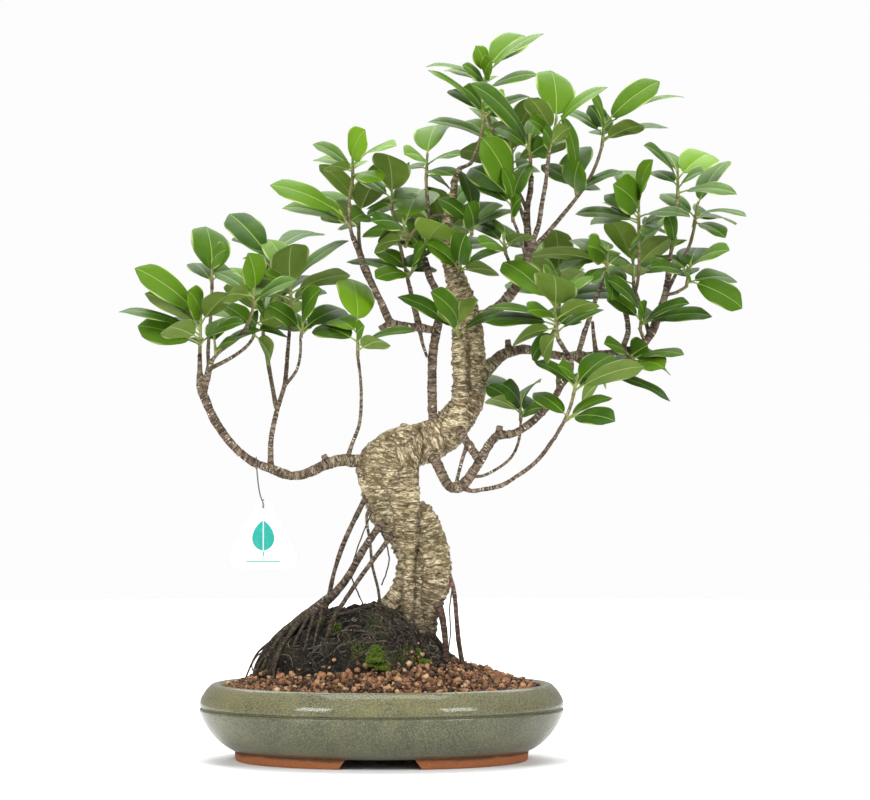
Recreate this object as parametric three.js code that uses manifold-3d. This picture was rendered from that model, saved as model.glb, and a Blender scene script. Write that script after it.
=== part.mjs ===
// A fig trained as a bonsai, in a glazed oval pot with two feet.
// Millimetres, +Z up. The tree is laid out about the middle of the pot, with +X to the right
// of its front, +Y to its back and z = 0 under the feet. At the end everything moves so that
// the origin is below the middle of the whole plant.

import * as THREE from 'three';
import { mergeVertices } from 'three/addons/utils/BufferGeometryUtils.js';
import Module from 'manifold-3d';

const wasm = await Module();
wasm.setup();

// ---------------------------------------------------------------- driving dimensions

const GAP = 0.3; // clearance between pieces that touch
const WOOD_TOLERANCE = 0.08; // how far a facet may be from the surface that it stands for
const LEAF_TOLERANCE = 0.12;
const OVERCUT = 2; // how far a cutting solid reaches past what it cuts
const LEAF_CLEARANCE = 0.45; // least air between one leaf and anything it doesn't grow from

const POT_HALF_LENGTH = 164; // at the shoulder, the widest level
const POT_OVAL = 39; // how much shorter the half-width is than the half-length
const POT_WALL = 10;
const POT_FLOOR = 7;
const FOOT_HEIGHT = 9;
const FOOT_WIDTH = 15;
const FOOT_OPENING = 29; // half the space between the two feet, at the front and the back
const FOOT_SLANT = 8; // how much further apart the feet's ends are at the ground
const FOOT_DRAFT = 1.5; // how far a foot's sides lean
const DRAIN_RADIUS = 11;
const DRAIN_OFFSET = 62; // from the middle of the pot to each drain hole
const SHOULDER_HEIGHT = 47.5;
const LIP_HEIGHT = 21.5; // from the shoulder to the top of the lip
const LIP_INSET = 20; // from the shoulder in to the opening

const DRAIN_MESH_SIDE = 34;
const DRAIN_MESH_THICKNESS = 1.2;
const DRAIN_MESH_HOLE = 4.4;
const DRAIN_MESH_PITCH = 6.6;

const SOIL_DEPTH_BELOW_LIP = 8; // the potting soil stops this far under the top of the lip
const GRAVEL_DEPTH_BELOW_LIP = 5; // top of the gravel where it meets the pot
const GRAVEL_CONE = 45; // rise that the gravel's slope would reach over the middle of the pot
const MOUND_HEIGHT = 140; // top of the root ball
const MOUND_MARGIN_LEFT = 27; // from the pot's opening to the foot of the root ball
const MOUND_MARGIN_FRONT = 41;
const MOUND_RIGHT = 50;

const TREE_HEIGHT = 658; // tip of the top leaf above the ground
const LEAF_LENGTH = 56; // a full-grown leaf with its stalk
const LEAF_WIDTH = 29;
const LEAF_THICKNESS = 1;
const LEAF_ARCH = 0.09; // how far a leaf bows, as a share of its length
const STALK_SHARE = 0.16; // the bare stalk's share of a leaf
const STALK_RADIUS = 0.8;
const STEM_RADIUS = 1.7;
const BUD_LENGTH = 7;
const BUD_POINT_RADIUS = 0.25;

const TAG_WIDTH = 64;
const TAG_HEIGHT = 62;
const TAG_THICKNESS = 1;
const TAG_HOLE_RADIUS = 4;
const WIRE_DIAMETER = 1.2;

// The tree's points below are written for this height, above the level its roots spread from.
const DRAWN_HEIGHT = 658;
const ROOT_LEVEL = 76;
const GROWTH = (TREE_HEIGHT - ROOT_LEVEL) / (DRAWN_HEIGHT - ROOT_LEVEL);
const DRAWN_LEAF_LENGTH = 56;
const DRAWN_LEAF_WIDTH = 24;

const LIP_TOP = SHOULDER_HEIGHT + LIP_HEIGHT;
const OPENING_EDGE = LIP_TOP - 3.5; // where the rounded lip turns down into the pot
const POT_INSIDE_FLOOR = FOOT_HEIGHT + POT_FLOOR;
const SOIL_TOP = LIP_TOP - SOIL_DEPTH_BELOW_LIP;
const OPENING_HALF_LENGTH = POT_HALF_LENGTH - LIP_INSET;
const OPENING_HALF_WIDTH = OPENING_HALF_LENGTH - POT_OVAL;

// ---------------------------------------------------------------- solids

// A closed triangle mesh as a manifold solid, turned inside out if its faces point inwards.
function solidFrom(positions, triangles) {
  const vertProperties = new Float32Array(positions);
  let solid = new wasm.Manifold(
    new wasm.Mesh({ numProp: 3, vertProperties, triVerts: new Uint32Array(triangles) }),
  );
  if (solid.volume() < 0) {
    const flipped = new Uint32Array(triangles);
    for (let i = 0; i < flipped.length; i += 3) {
      [flipped[i], flipped[i + 1]] = [flipped[i + 1], flipped[i]];
    }
    solid = new wasm.Manifold(new wasm.Mesh({ numProp: 3, vertProperties, triVerts: flipped }));
  }
  return solid;
}

function solidOf(geometry) {
  const bare = geometry.clone();
  bare.deleteAttribute('normal');
  bare.deleteAttribute('uv');
  const merged = mergeVertices(bare, 1e-4);
  return solidFrom(merged.attributes.position.array, merged.index.array);
}

function geometryOf(solid) {
  const mesh = solid.getMesh();
  const geometry = new THREE.BufferGeometry();
  const positions = Float32Array.from(mesh.vertProperties);
  geometry.setAttribute('position', new THREE.BufferAttribute(positions, 3));
  geometry.setIndex(new THREE.BufferAttribute(Uint32Array.from(mesh.triVerts), 1));
  geometry.computeVertexNormals();
  return geometry;
}

// Rings of equal size, each a list of points, skinned into one closed solid with flat ends.
function loft(rings) {
  const sides = rings[0].length;
  const positions = [];
  const triangles = [];
  for (const ring of rings) {
    for (const point of ring) {
      positions.push(point.x, point.y, point.z);
    }
  }
  for (let r = 0; r + 1 < rings.length; r += 1) {
    for (let s = 0; s < sides; s += 1) {
      const a = r * sides + s;
      const b = r * sides + ((s + 1) % sides);
      triangles.push(a, b, b + sides, a, b + sides, a + sides);
    }
  }
  const last = (rings.length - 1) * sides;
  for (let s = 1; s + 1 < sides; s += 1) {
    triangles.push(0, s + 1, s);
    triangles.push(last, last + s, last + s + 1);
  }
  return solidFrom(positions, triangles);
}

// The largest body of a solid that a cut may have left in pieces.
function largestBody(solid) {
  const bodies = solid.decompose();
  return bodies.reduce((best, body) => (body.volume() > best.volume() ? body : best));
}

const joined = (solids) => solids.reduce((sum, solid) => sum.add(solid));

// ---------------------------------------------------------------- tubes along curves

const FIRST_ACROSS = [0.31, 0.95, 0.05]; // a direction that no limb starts along

// Points given as [x, y, z, radius] become a smooth tube whose radius follows the points.
// Frames are carried along without twist. grow thickens the whole tube.
function limb(points, sides, grow = 0) {
  const curve = new THREE.CatmullRomCurve3(
    points.map(([x, y, z]) => new THREE.Vector3(x, y, z)),
    false,
    'centripetal',
  );
  const last = points.length - 1;
  const rings = [];
  let across = new THREE.Vector3(...FIRST_ACROSS);
  for (let i = 0; i <= last; i += 1) {
    const centre = curve.getPoint(i / last);
    const along = curve.getTangent(i / last);
    across = across.clone().addScaledVector(along, -across.dot(along)).normalize();
    const other = new THREE.Vector3().crossVectors(along, across);
    const radius = grow + points[i][3];
    if (i === 0 || i === last) {
      centre.addScaledVector(along, i === 0 ? -grow : grow);
    }
    const ring = [];
    for (let s = 0; s < sides; s += 1) {
      const angle = (2 * Math.PI * s) / sides;
      const point = centre.clone();
      point.addScaledVector(across, radius * Math.cos(angle));
      point.addScaledVector(other, radius * Math.sin(angle));
      ring.push(point);
    }
    rings.push(ring);
  }
  return loft(rings);
}

// A point of the tree as drawn, moved to where it stands at the tree's own height.
function grown([x, y, z, ...rest]) {
  return [x * GROWTH, y * GROWTH, ROOT_LEVEL + (z - ROOT_LEVEL) * GROWTH, ...rest];
}

// ---------------------------------------------------------------- pot and what fills it

const OVAL_SIDES = 26;

function ovalRing(halfLength, z, oval = POT_OVAL, sides = OVAL_SIDES) {
  const ring = [];
  for (let s = 0; s < sides; s += 1) {
    const angle = (2 * Math.PI * (s + 0.5)) / sides;
    const x = halfLength * Math.cos(angle);
    const y = (halfLength - oval) * Math.sin(angle);
    ring.push(new THREE.Vector3(x, y, z));
  }
  return ring;
}

// The pot's outside: how far each level lies inside the shoulder, and its height.
const POT_OUTSIDE = [
  [31, FOOT_HEIGHT],
  [17, FOOT_HEIGHT + 9],
  [7, FOOT_HEIGHT + 21],
  [0, SHOULDER_HEIGHT - 2],
  [2.2, SHOULDER_HEIGHT],
  [0.4, SHOULDER_HEIGHT + 1.6],
  [2.6, SHOULDER_HEIGHT + 0.5 * LIP_HEIGHT],
  [8.5, LIP_TOP - 2.6],
  [13, LIP_TOP],
  [LIP_INSET, OPENING_EDGE],
];

// The inside of the pot rounds out from its floor to its widest level, then closes in again
// to the opening.
const WIDEST_SHARE = 0.55; // of the way up from the floor to the opening
const WIDEST_INSET = POT_WALL + 5;

function insideHalfLength(z) {
  const floorInset = POT_OUTSIDE[1][0] + POT_WALL;
  const share = (z - POT_INSIDE_FLOOR) / (OPENING_EDGE - POT_INSIDE_FLOOR);
  const inset = share < WIDEST_SHARE
    ? THREE.MathUtils.lerp(floorInset, WIDEST_INSET, Math.sin((share / WIDEST_SHARE) * (Math.PI / 2)))
    : THREE.MathUtils.lerp(WIDEST_INSET, LIP_INSET, (share - WIDEST_SHARE) / (1 - WIDEST_SHARE));
  return POT_HALF_LENGTH - inset;
}

function ovalColumn(levels, margin = 0) {
  return loft(levels.map((z) => ovalRing(insideHalfLength(z) - margin, z)));
}

const INSIDE_LEVELS = [0, 0.2, WIDEST_SHARE, 1].map((share) => (
  THREE.MathUtils.lerp(POT_INSIDE_FLOOR, OPENING_EDGE, share)
));

function verticalDisc(radius, x, bottom, top) {
  const disc = new THREE.CylinderGeometry(radius, radius, top - bottom, 20);
  disc.rotateX(Math.PI / 2);
  disc.translate(x, 0, (top + bottom) / 2);
  return solidOf(disc);
}

// The ring under the pot, cut into a left and a right foot by a slot from front to back. The
// slot is wider at the bottom, so the feet end in slants.
function makeFeet() {
  const outer = POT_HALF_LENGTH - POT_OUTSIDE[0][0];
  const top = FOOT_HEIGHT + OVERCUT;
  const ring = loft([ovalRing(outer - FOOT_DRAFT, 0), ovalRing(outer, top)]);
  const hollow = loft([
    ovalRing(outer - FOOT_WIDTH, -OVERCUT),
    ovalRing(outer - FOOT_WIDTH - FOOT_DRAFT, top + OVERCUT),
  ]);
  const slot = new THREE.Shape();
  slot.moveTo(-FOOT_OPENING - FOOT_SLANT, -OVERCUT);
  slot.lineTo(FOOT_OPENING + FOOT_SLANT, -OVERCUT);
  slot.lineTo(FOOT_OPENING, FOOT_HEIGHT);
  slot.lineTo(-FOOT_OPENING, FOOT_HEIGHT);
  const slotBlock = new THREE.ExtrudeGeometry(slot, { depth: 2 * POT_HALF_LENGTH, bevelEnabled: false });
  slotBlock.rotateX(Math.PI / 2);
  slotBlock.translate(0, POT_HALF_LENGTH, 0);
  return ring.subtract(hollow).subtract(solidOf(slotBlock));
}

function makePot() {
  const shell = loft(POT_OUTSIDE.map(([inset, z]) => ovalRing(POT_HALF_LENGTH - inset, z)));
  const hollow = INSIDE_LEVELS.map((z) => ovalRing(insideHalfLength(z), z));
  hollow.push(ovalRing(OPENING_HALF_LENGTH, LIP_TOP + OVERCUT));
  const drains = [-DRAIN_OFFSET, DRAIN_OFFSET].map((x) => (
    verticalDisc(DRAIN_RADIUS, x, FOOT_HEIGHT - OVERCUT, POT_INSIDE_FLOOR + OVERCUT)
  ));
  return shell.subtract(loft(hollow)).add(makeFeet()).subtract(joined(drains));
}

function uprightBlock(sideX, sideY, height, x, y, z) {
  const block = new THREE.BoxGeometry(sideX, sideY, height);
  block.translate(x, y, z);
  return solidOf(block);
}

function drainMesh(x) {
  const middle = POT_INSIDE_FLOOR + GAP + DRAIN_MESH_THICKNESS / 2;
  const plate = uprightBlock(DRAIN_MESH_SIDE, DRAIN_MESH_SIDE, DRAIN_MESH_THICKNESS, x, 0, middle);
  const rows = Math.floor((DRAIN_MESH_SIDE / 2 - DRAIN_MESH_HOLE) / DRAIN_MESH_PITCH);
  const holes = [];
  for (let i = -rows; i <= rows; i += 1) {
    for (let j = -rows; j <= rows; j += 1) {
      const holeX = x + i * DRAIN_MESH_PITCH;
      const holeY = j * DRAIN_MESH_PITCH;
      holes.push(uprightBlock(
        DRAIN_MESH_HOLE,
        DRAIN_MESH_HOLE,
        3 * DRAIN_MESH_THICKNESS,
        holeX,
        holeY,
        middle,
      ));
    }
  }
  return plate.subtract(joined(holes));
}

function meshClearance(x) {
  const side = DRAIN_MESH_SIDE + 2 * GAP;
  return uprightBlock(side, side, 2 * (DRAIN_MESH_THICKNESS + 2 * GAP), x, 0, POT_INSIDE_FLOOR);
}

function makePottingSoil() {
  const levels = [POT_INSIDE_FLOOR + GAP, ...INSIDE_LEVELS.slice(1, -1), SOIL_TOP];
  const fill = ovalColumn(levels, GAP);
  return fill.subtract(meshClearance(-DRAIN_OFFSET)).subtract(meshClearance(DRAIN_OFFSET));
}

// The root ball is half a ball, pulled out to its own reach in each direction.
const MOUND_LEFT = OPENING_HALF_LENGTH - MOUND_MARGIN_LEFT;
const MOUND_FRONT = OPENING_HALF_WIDTH - MOUND_MARGIN_FRONT;
const MOUND_FOOT = SOIL_TOP + GAP;

function moundReach(x) {
  return x < 0 ? MOUND_LEFT : MOUND_RIGHT;
}

function moundHeight(x, y) {
  const share = (x / moundReach(x)) ** 2 + (y / MOUND_FRONT) ** 2;
  return share < 1 ? MOUND_FOOT + (MOUND_HEIGHT - MOUND_FOOT) * Math.sqrt(1 - share) : 0;
}

const MOUND_SIDES = 22;
const MOUND_ELEVATIONS = [8, 24, 41, 60, 82]; // degrees up the half ball

function makeRootBall(grow = 0) {
  const rise = MOUND_HEIGHT - MOUND_FOOT + grow;
  const ringAt = (elevation, z) => {
    const ring = [];
    for (let s = 0; s < MOUND_SIDES; s += 1) {
      const angle = (2 * Math.PI * (s + 0.5)) / MOUND_SIDES;
      const x = Math.cos(angle) * Math.cos(elevation);
      const y = Math.sin(angle) * Math.cos(elevation);
      ring.push(new THREE.Vector3(x * (moundReach(x) + grow), y * (MOUND_FRONT + grow), z));
    }
    return ring;
  };
  const rings = [ringAt(0, MOUND_FOOT - 4 * grow)];
  for (const degrees of MOUND_ELEVATIONS) {
    const elevation = THREE.MathUtils.degToRad(degrees);
    rings.push(ringAt(elevation, MOUND_FOOT + rise * Math.sin(elevation)));
  }
  return loft(rings);
}

// The gravel slopes from the root ball down to the pot as part of a flat oval cone.
const GRAVEL_RIM = LIP_TOP - GRAVEL_DEPTH_BELOW_LIP;
const CONE_SHARES = [1, 0.6, 0.2]; // of the cone's outline, from the rim up

function gravelHeight(x, y) {
  const share = Math.hypot(x / OPENING_HALF_LENGTH, y / OPENING_HALF_WIDTH);
  return GRAVEL_RIM + GRAVEL_CONE * (1 - share);
}

function groundHeight(x, y) {
  return Math.max(moundHeight(x, y), gravelHeight(x, y));
}

// grow thickens the cone on every side.
function gravelCone(grow) {
  const outline = insideHalfLength(GRAVEL_RIM) - GAP + grow;
  const rings = CONE_SHARES.map((share) => (
    ovalRing(outline * share, GRAVEL_RIM + grow + GRAVEL_CONE * (1 - share), POT_OVAL * share)
  ));
  return loft([ovalRing(outline, SOIL_TOP + GAP - grow), ...rings]);
}

function makeGravel() {
  return largestBody(gravelCone(0).subtract(makeRootBall(GAP)));
}

// ---------------------------------------------------------------- wood
// Each path is a list of [x, y, z, radius].

const TRUNK_LOWER = [
  [20, 0, 104, 13], [19, 0, 126, 11], [17, 0, 144, 11], [24, 0, 180, 9.5], [17, 0, 207, 17],
  [11, 0, 225, 22], [8, 0, 243, 26], [6, 0, 261, 28], [8, 0, 276, 25], [10, 0, 288, 15],
  [11, 0, 295, 5],
];
const TRUNK_UPPER = [
  [2, 0, 268, 14], [12, 0, 275, 22], [27, 0, 282, 20], [44, 0, 288, 18], [60, 0, 298, 16.5],
  [72, 1, 313, 15], [79, 2, 326, 14], [81.5, 3, 351, 13], [80, 4, 378, 12], [76, 4, 405, 11],
  [69, 4, 427, 10], [62, 4, 448, 8], [58, 3, 468, 6], [60, 2, 490, 5], [64, 0, 504, 3.6],
  [66, 0, 522, 3.3], [71, 0, 534, 2.6],
];
const TRUNK_BULGE = [
  [32, -5, 232, 5], [38, -5, 219, 10], [45, -6, 196, 13.5], [48, -7, 171, 15.5], [46, -6, 152, 13.5],
  [42, -5, 136, 11], [39, -4, 118, 10], [37, -4, 98, 10], [35, -4, 80, 10],
];
const TRUNK_FRONT_ROOT = [
  [29, -17, 254, 3.5], [29, -18, 234, 5.5], [27, -15, 207, 6], [26, -13, 190, 5.5], [25, -14, 166, 5],
  [23, -13, 133, 5.5], [22, -12, 104, 6],
];
const TRUNK_FRONT_STEM = [
  [64, -6, 290, 7], [68, -8, 300, 7.5], [71, -9, 333, 8], [71, -8, 369, 7.5], [69, -4, 396, 6],
];
const TRUNK_FLARE = [
  [21, -4, 162, 5], [14, -5, 151, 6.5], [6, -5, 141, 8], [-3, -5, 131, 8.5], [-10, -4, 119, 8],
];
const TRUNK_WEB = [
  [31, -3, 198, 5], [33, -4, 170, 8], [32, -5, 142, 10], [33, -4, 118, 12], [32, -3, 92, 12],
];
const TRUNK_HUMP = [[18, -2, 284, 6], [20, -3, 296, 4.5], [20, -3, 303, 3]];

const SECOND_STEM = [
  [46, -6, 292, 5], [46.4, -6, 302, 4.5], [45.5, -8, 324, 4.3], [45.5, -8, 351, 4.2],
  [47, -7, 373, 4.2], [50, -5, 389, 4], [52.7, -4, 414, 3.8], [44, -3, 432, 3.4], [38.3, -2, 452, 3],
];

const BRANCH_LEFT = [
  [
    [-4, -2, 270, 7], [-18, -4, 269, 6], [-34, -8, 270, 5.5], [-48, -11, 267, 5.2],
    [-63, -14, 260, 4.5], [-80, -16, 256, 4.2], [-99, -17, 262.5, 4], [-114, -17, 268, 3.8],
    [-133, -16, 283, 3.8], [-149, -14, 305, 3.8], [-158, -12, 324, 4.2], [-162, -11, 335, 4],
    [-163, -12, 349, 2.6], [-163, -13, 366, 2],
  ],
  [[-160, -11, 331, 3.4], [-156, -14, 346, 3.2], [-152, -19, 360, 2.6]],
  [[-154, -16, 352, 2.2], [-135, -8, 362, 1.8], [-122, 0, 372, 1.6], [-116, 4, 380, 1.5]],
  [[-48, -11, 266, 4], [-52, -12, 275, 2.6]],
  [
    [-99, -16, 262, 3], [-99.5, -12, 275, 2.6], [-99, -4, 292, 2.4], [-94, 8, 317, 2.3],
    [-88, 16, 338, 2.1], [-86, 22, 363, 1.9], [-84, 26, 388, 1.7],
  ],
  [[-88, 16, 337, 1.7], [-77, 10, 351, 1.5], [-73.4, 6, 367, 1.4], [-73.4, 4, 380, 1.3]],
  [
    [-31, -8, 270, 2.6], [-27, -13, 283, 1.9], [-20, -19, 301, 1.7], [-18, -22, 324, 1.6],
    [-18.5, -24, 342, 1.5], [-21, -26, 363, 1.4],
  ],
];
const BRANCH_UPPER_LEFT = [
  [
    [50, -5, 386, 3], [35, -8, 389, 3.8], [17, -12, 391, 3.8], [8, -14, 394, 3.6],
    [1, -14, 409, 3.4], [-9, -12, 429, 3.2], [-15, -10, 441, 3], [-21, -8, 459, 2.7],
    [-26, -7, 471, 2.4],
  ],
  [[8, -14, 393, 3], [-2, -13, 388, 2.4]],
  [[34, -8, 389, 3], [28, -2, 413, 2.4], [25, 4, 427, 1.9]],
  [[34, -8, 388, 2], [37, -13, 374, 1.6], [41, -16, 362, 1.3]],
  [[-9, -12, 428, 2.4], [-12, 10, 440, 2], [-18, 34, 454, 1.6]],
];
const LIMB_RIGHT_LOW = [
  [
    [38, -4, 288, 6.5], [43, -13, 277, 5.8], [50, -20, 267, 5], [55, -22, 256, 4.6],
    [61, -24, 247, 4.6], [69, -26, 245.5, 4.8], [76, -27, 251, 4.8], [82, -27, 260, 4.3],
    [89, -26, 271, 4.2], [95, -26, 282, 4], [104, -28, 292, 4], [116, -31, 293.5, 3.7],
    [127, -34, 299, 3.5], [138, -38, 308, 3.3], [148, -42, 318, 3.2], [155, -45, 328, 3],
    [161, -48, 338, 2.8], [168, -50, 348, 2.6], [168.5, -52, 358, 2.5], [162.5, -53, 369, 2.2],
    [157, -54, 378, 2],
  ],
  [[104, -28, 290, 3.4], [106, -27, 301, 3]],
  [[158, -46, 333, 2.4], [157, -43, 355, 1.9]],
  [[68, -10, 301, 4.5], [74, -18, 290, 4], [80, -23, 281, 3.9], [88, -26, 270, 3.7]],
  [[77, -21, 285, 2], [71.5, -24, 268, 1.7], [67, -26, 250, 1.6]],
  [
    [72, -27, 246, 2.4], [80, -32, 243, 2], [89, -36, 244, 2], [107, -42, 248, 2],
    [120, -47, 256, 2], [134, -52, 266, 2], [145, -56, 278, 1.9], [153, -60, 290, 1.8],
  ],
  [
    [79, -27, 256, 1.8], [90, -22, 256, 1.5], [103, -17, 262, 1.4], [115, -13, 271, 1.4],
    [122, -10, 283, 1.4], [124.7, -9, 297, 1.4], [125, -8, 306, 1.3],
  ],
];
const BRANCH_RIGHT_BACK = [
  [
    [82, 6, 346, 7.5], [90.5, 12, 349, 7], [99.5, 18, 356, 6], [107, 22, 363.5, 5.2],
    [117.5, 26, 368, 4.8], [129, 29, 370, 4.4], [147, 32, 367, 3.8], [162.5, 35, 364, 3.6],
    [179, 38, 363.6, 3.4], [197, 40, 366, 3.2], [215, 41, 368, 3.2], [233, 42, 372, 3.7],
    [243.5, 43, 382, 4], [251, 43, 399, 4], [257, 42, 416, 3.4], [260.6, 40, 436, 2.7],
    [262.4, 38, 455, 2.1],
  ],
  [[115, 25, 368, 3.4], [114, 25, 379, 2.6]],
  [[218, 41, 369, 2.8], [224.6, 45, 387, 2.6], [222, 48, 405, 2.4], [220, 50, 414, 2.2]],
  [[178, 38, 364, 2.6], [184, 33, 385, 2.4], [189, 28, 400, 2.2], [194, 24, 416, 2], [200, 20, 431, 1.8]],
  [[195, 40, 366, 2.4], [193, 44, 382, 1.9], [192, 48, 396, 1.5]],
  [[146, 32, 367, 2.8], [150, 52, 374, 2.4], [158, 70, 388, 2]],
];
const BRANCH_TOP = [
  [
    [80, 3, 393, 6], [87, 2, 398, 6], [98, 0, 402, 5.6], [109, -2, 411, 5], [118, -3, 422, 4.6],
    [125, -4, 432, 4.2], [130, -4, 445, 4], [132, -4, 461, 3.6], [131, -3, 481, 3.2],
    [131, -2, 497, 3], [134, 0, 513, 2.6], [134.6, 1, 526, 2.3],
  ],
  [
    [132, -4, 455, 2.8], [135, -7, 464, 2.5], [141, -12, 481, 2.3], [143.6, -16, 499, 2.2],
    [147, -19, 517, 2], [149, -21, 536, 1.8],
  ],
  [
    [131, -3, 450, 2.6], [138, 3, 462, 2.2], [147, 10, 472, 2.1], [159, 18, 486, 2], [169, 23, 498, 1.9],
  ],
  [[131, -4, 450, 2], [127, -8, 461, 1.6], [123, -14, 473, 1.5], [118.5, -18, 484, 1.4]],
  [[123, -4, 431, 2.4], [121, -10, 438, 1.9], [115, -15, 447, 1.6], [111.5, -18, 455, 1.5]],
  [[131, -3, 478, 2.4], [128, 16, 490, 2], [124, 36, 504, 1.7]],
];

const BRANCH_SIDES = 5;
const ROOT_DEPTH = 5; // how far a root's end goes into the ground

const AERIAL_ROOTS = {
  root_left_outer: [
    [[-12, -10, 240, 3], [-18, -14, 229, 2.5], [-26, -18, 213, 2.3], [-36, -21, 190, 2.2],
      [-43, -23, 167, 2.1], [-47, -23, 148, 2.1], [-51, -22, 132, 2.2], [-53, -20, 118, 2.2]],
  ],
  root_left_main: [
    [[6, -16, 218, 4], [-3, -19, 209, 3.4], [-15, -22, 192, 3.3], [-28, -26, 169, 3.4],
      [-41, -27, 152, 3.8], [-55, -24, 140, 5], [-72, -16, 127, 5], [-84, -8, 118, 4.4],
      [-100, -2, 104, 3], [-111, 2, 88, 2.4], [-116, 3, 72, 2]],
    [[-70, -17, 128, 2.6], [-80, -24, 117, 2.2], [-90, -30, 101, 1.8], [-96, -34, 82, 1.6]],
    [[-84, -9, 118, 2.4], [-97, -16, 103, 1.9], [-106, -20, 84, 1.6]],
  ],
  root_left_inner: [
    [[12, -12, 206, 3], [5, -17, 197, 2.3], [-8, -24, 180, 2.1], [-22, -34, 161, 2.1],
      [-34, -39, 143, 2.1], [-43, -41, 128, 2.1], [-49, -42, 110, 2]],
  ],
  root_left_fine: [
    [[-8, -20, 230, 2.2], [-13, -23, 221, 1.5], [-10, -22, 197, 1.4], [-8, -21, 175, 1.4],
      [-3, -19, 155, 1.4], [-1, -18, 138, 1.5], [0, -17, 122, 1.5]],
  ],
  root_right_outer: [
    [[58, -10, 171, 3], [64, -13, 157, 2.1], [67, -15, 133, 2.1], [69, -17, 109, 2.3],
      [72, -19, 91, 2.3], [76, -21, 74, 2.2]],
  ],
  root_right_inner: [
    [[50, -9, 148, 3.2], [54, -15, 131, 3], [57, -20, 112, 2.8], [58, -24, 92, 2.6],
      [60, -26, 74, 2.4]],
  ],
};

function branch(paths, grow = 0) {
  return joined(paths.map((path) => limb(path, BRANCH_SIDES, grow)));
}

// The trunk's limbs, grown into one, each with its number of sides.
const TRUNK_LIMBS = [
  [TRUNK_LOWER, 11], [TRUNK_UPPER, 9], [TRUNK_BULGE, 8], [TRUNK_FRONT_ROOT, 6],
  [TRUNK_FRONT_STEM, 7], [TRUNK_FLARE, 6], [TRUNK_WEB, 6], [TRUNK_HUMP, 5],
];

function makeTrunk(grow = 0) {
  return joined(TRUNK_LIMBS.map(([path, sides]) => limb(path.map(grown), sides, grow)));
}

// A root's path, carried down below the ground wherever the ground is.
function rooted(path) {
  const [x, y, z, radius] = path[path.length - 1];
  return [...path, [x, y, Math.min(z, groundHeight(x, y)) - ROOT_DEPTH, radius]];
}

// ---------------------------------------------------------------- leaves
// Each spray is young stems with their leaves, in one piece. A tuft starts at a point on its
// stem and rises along a vector. Its leaves sit along that rise in the order listed, each as
// [right, up, side, show, width, length]: where its tip is from the tuft's start, as seen from
// the front; 1 if it leans to the back and -1 to the front; how much of its upper face turns to
// the front, negative for its underside; and its size, where that isn't the usual one.

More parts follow.
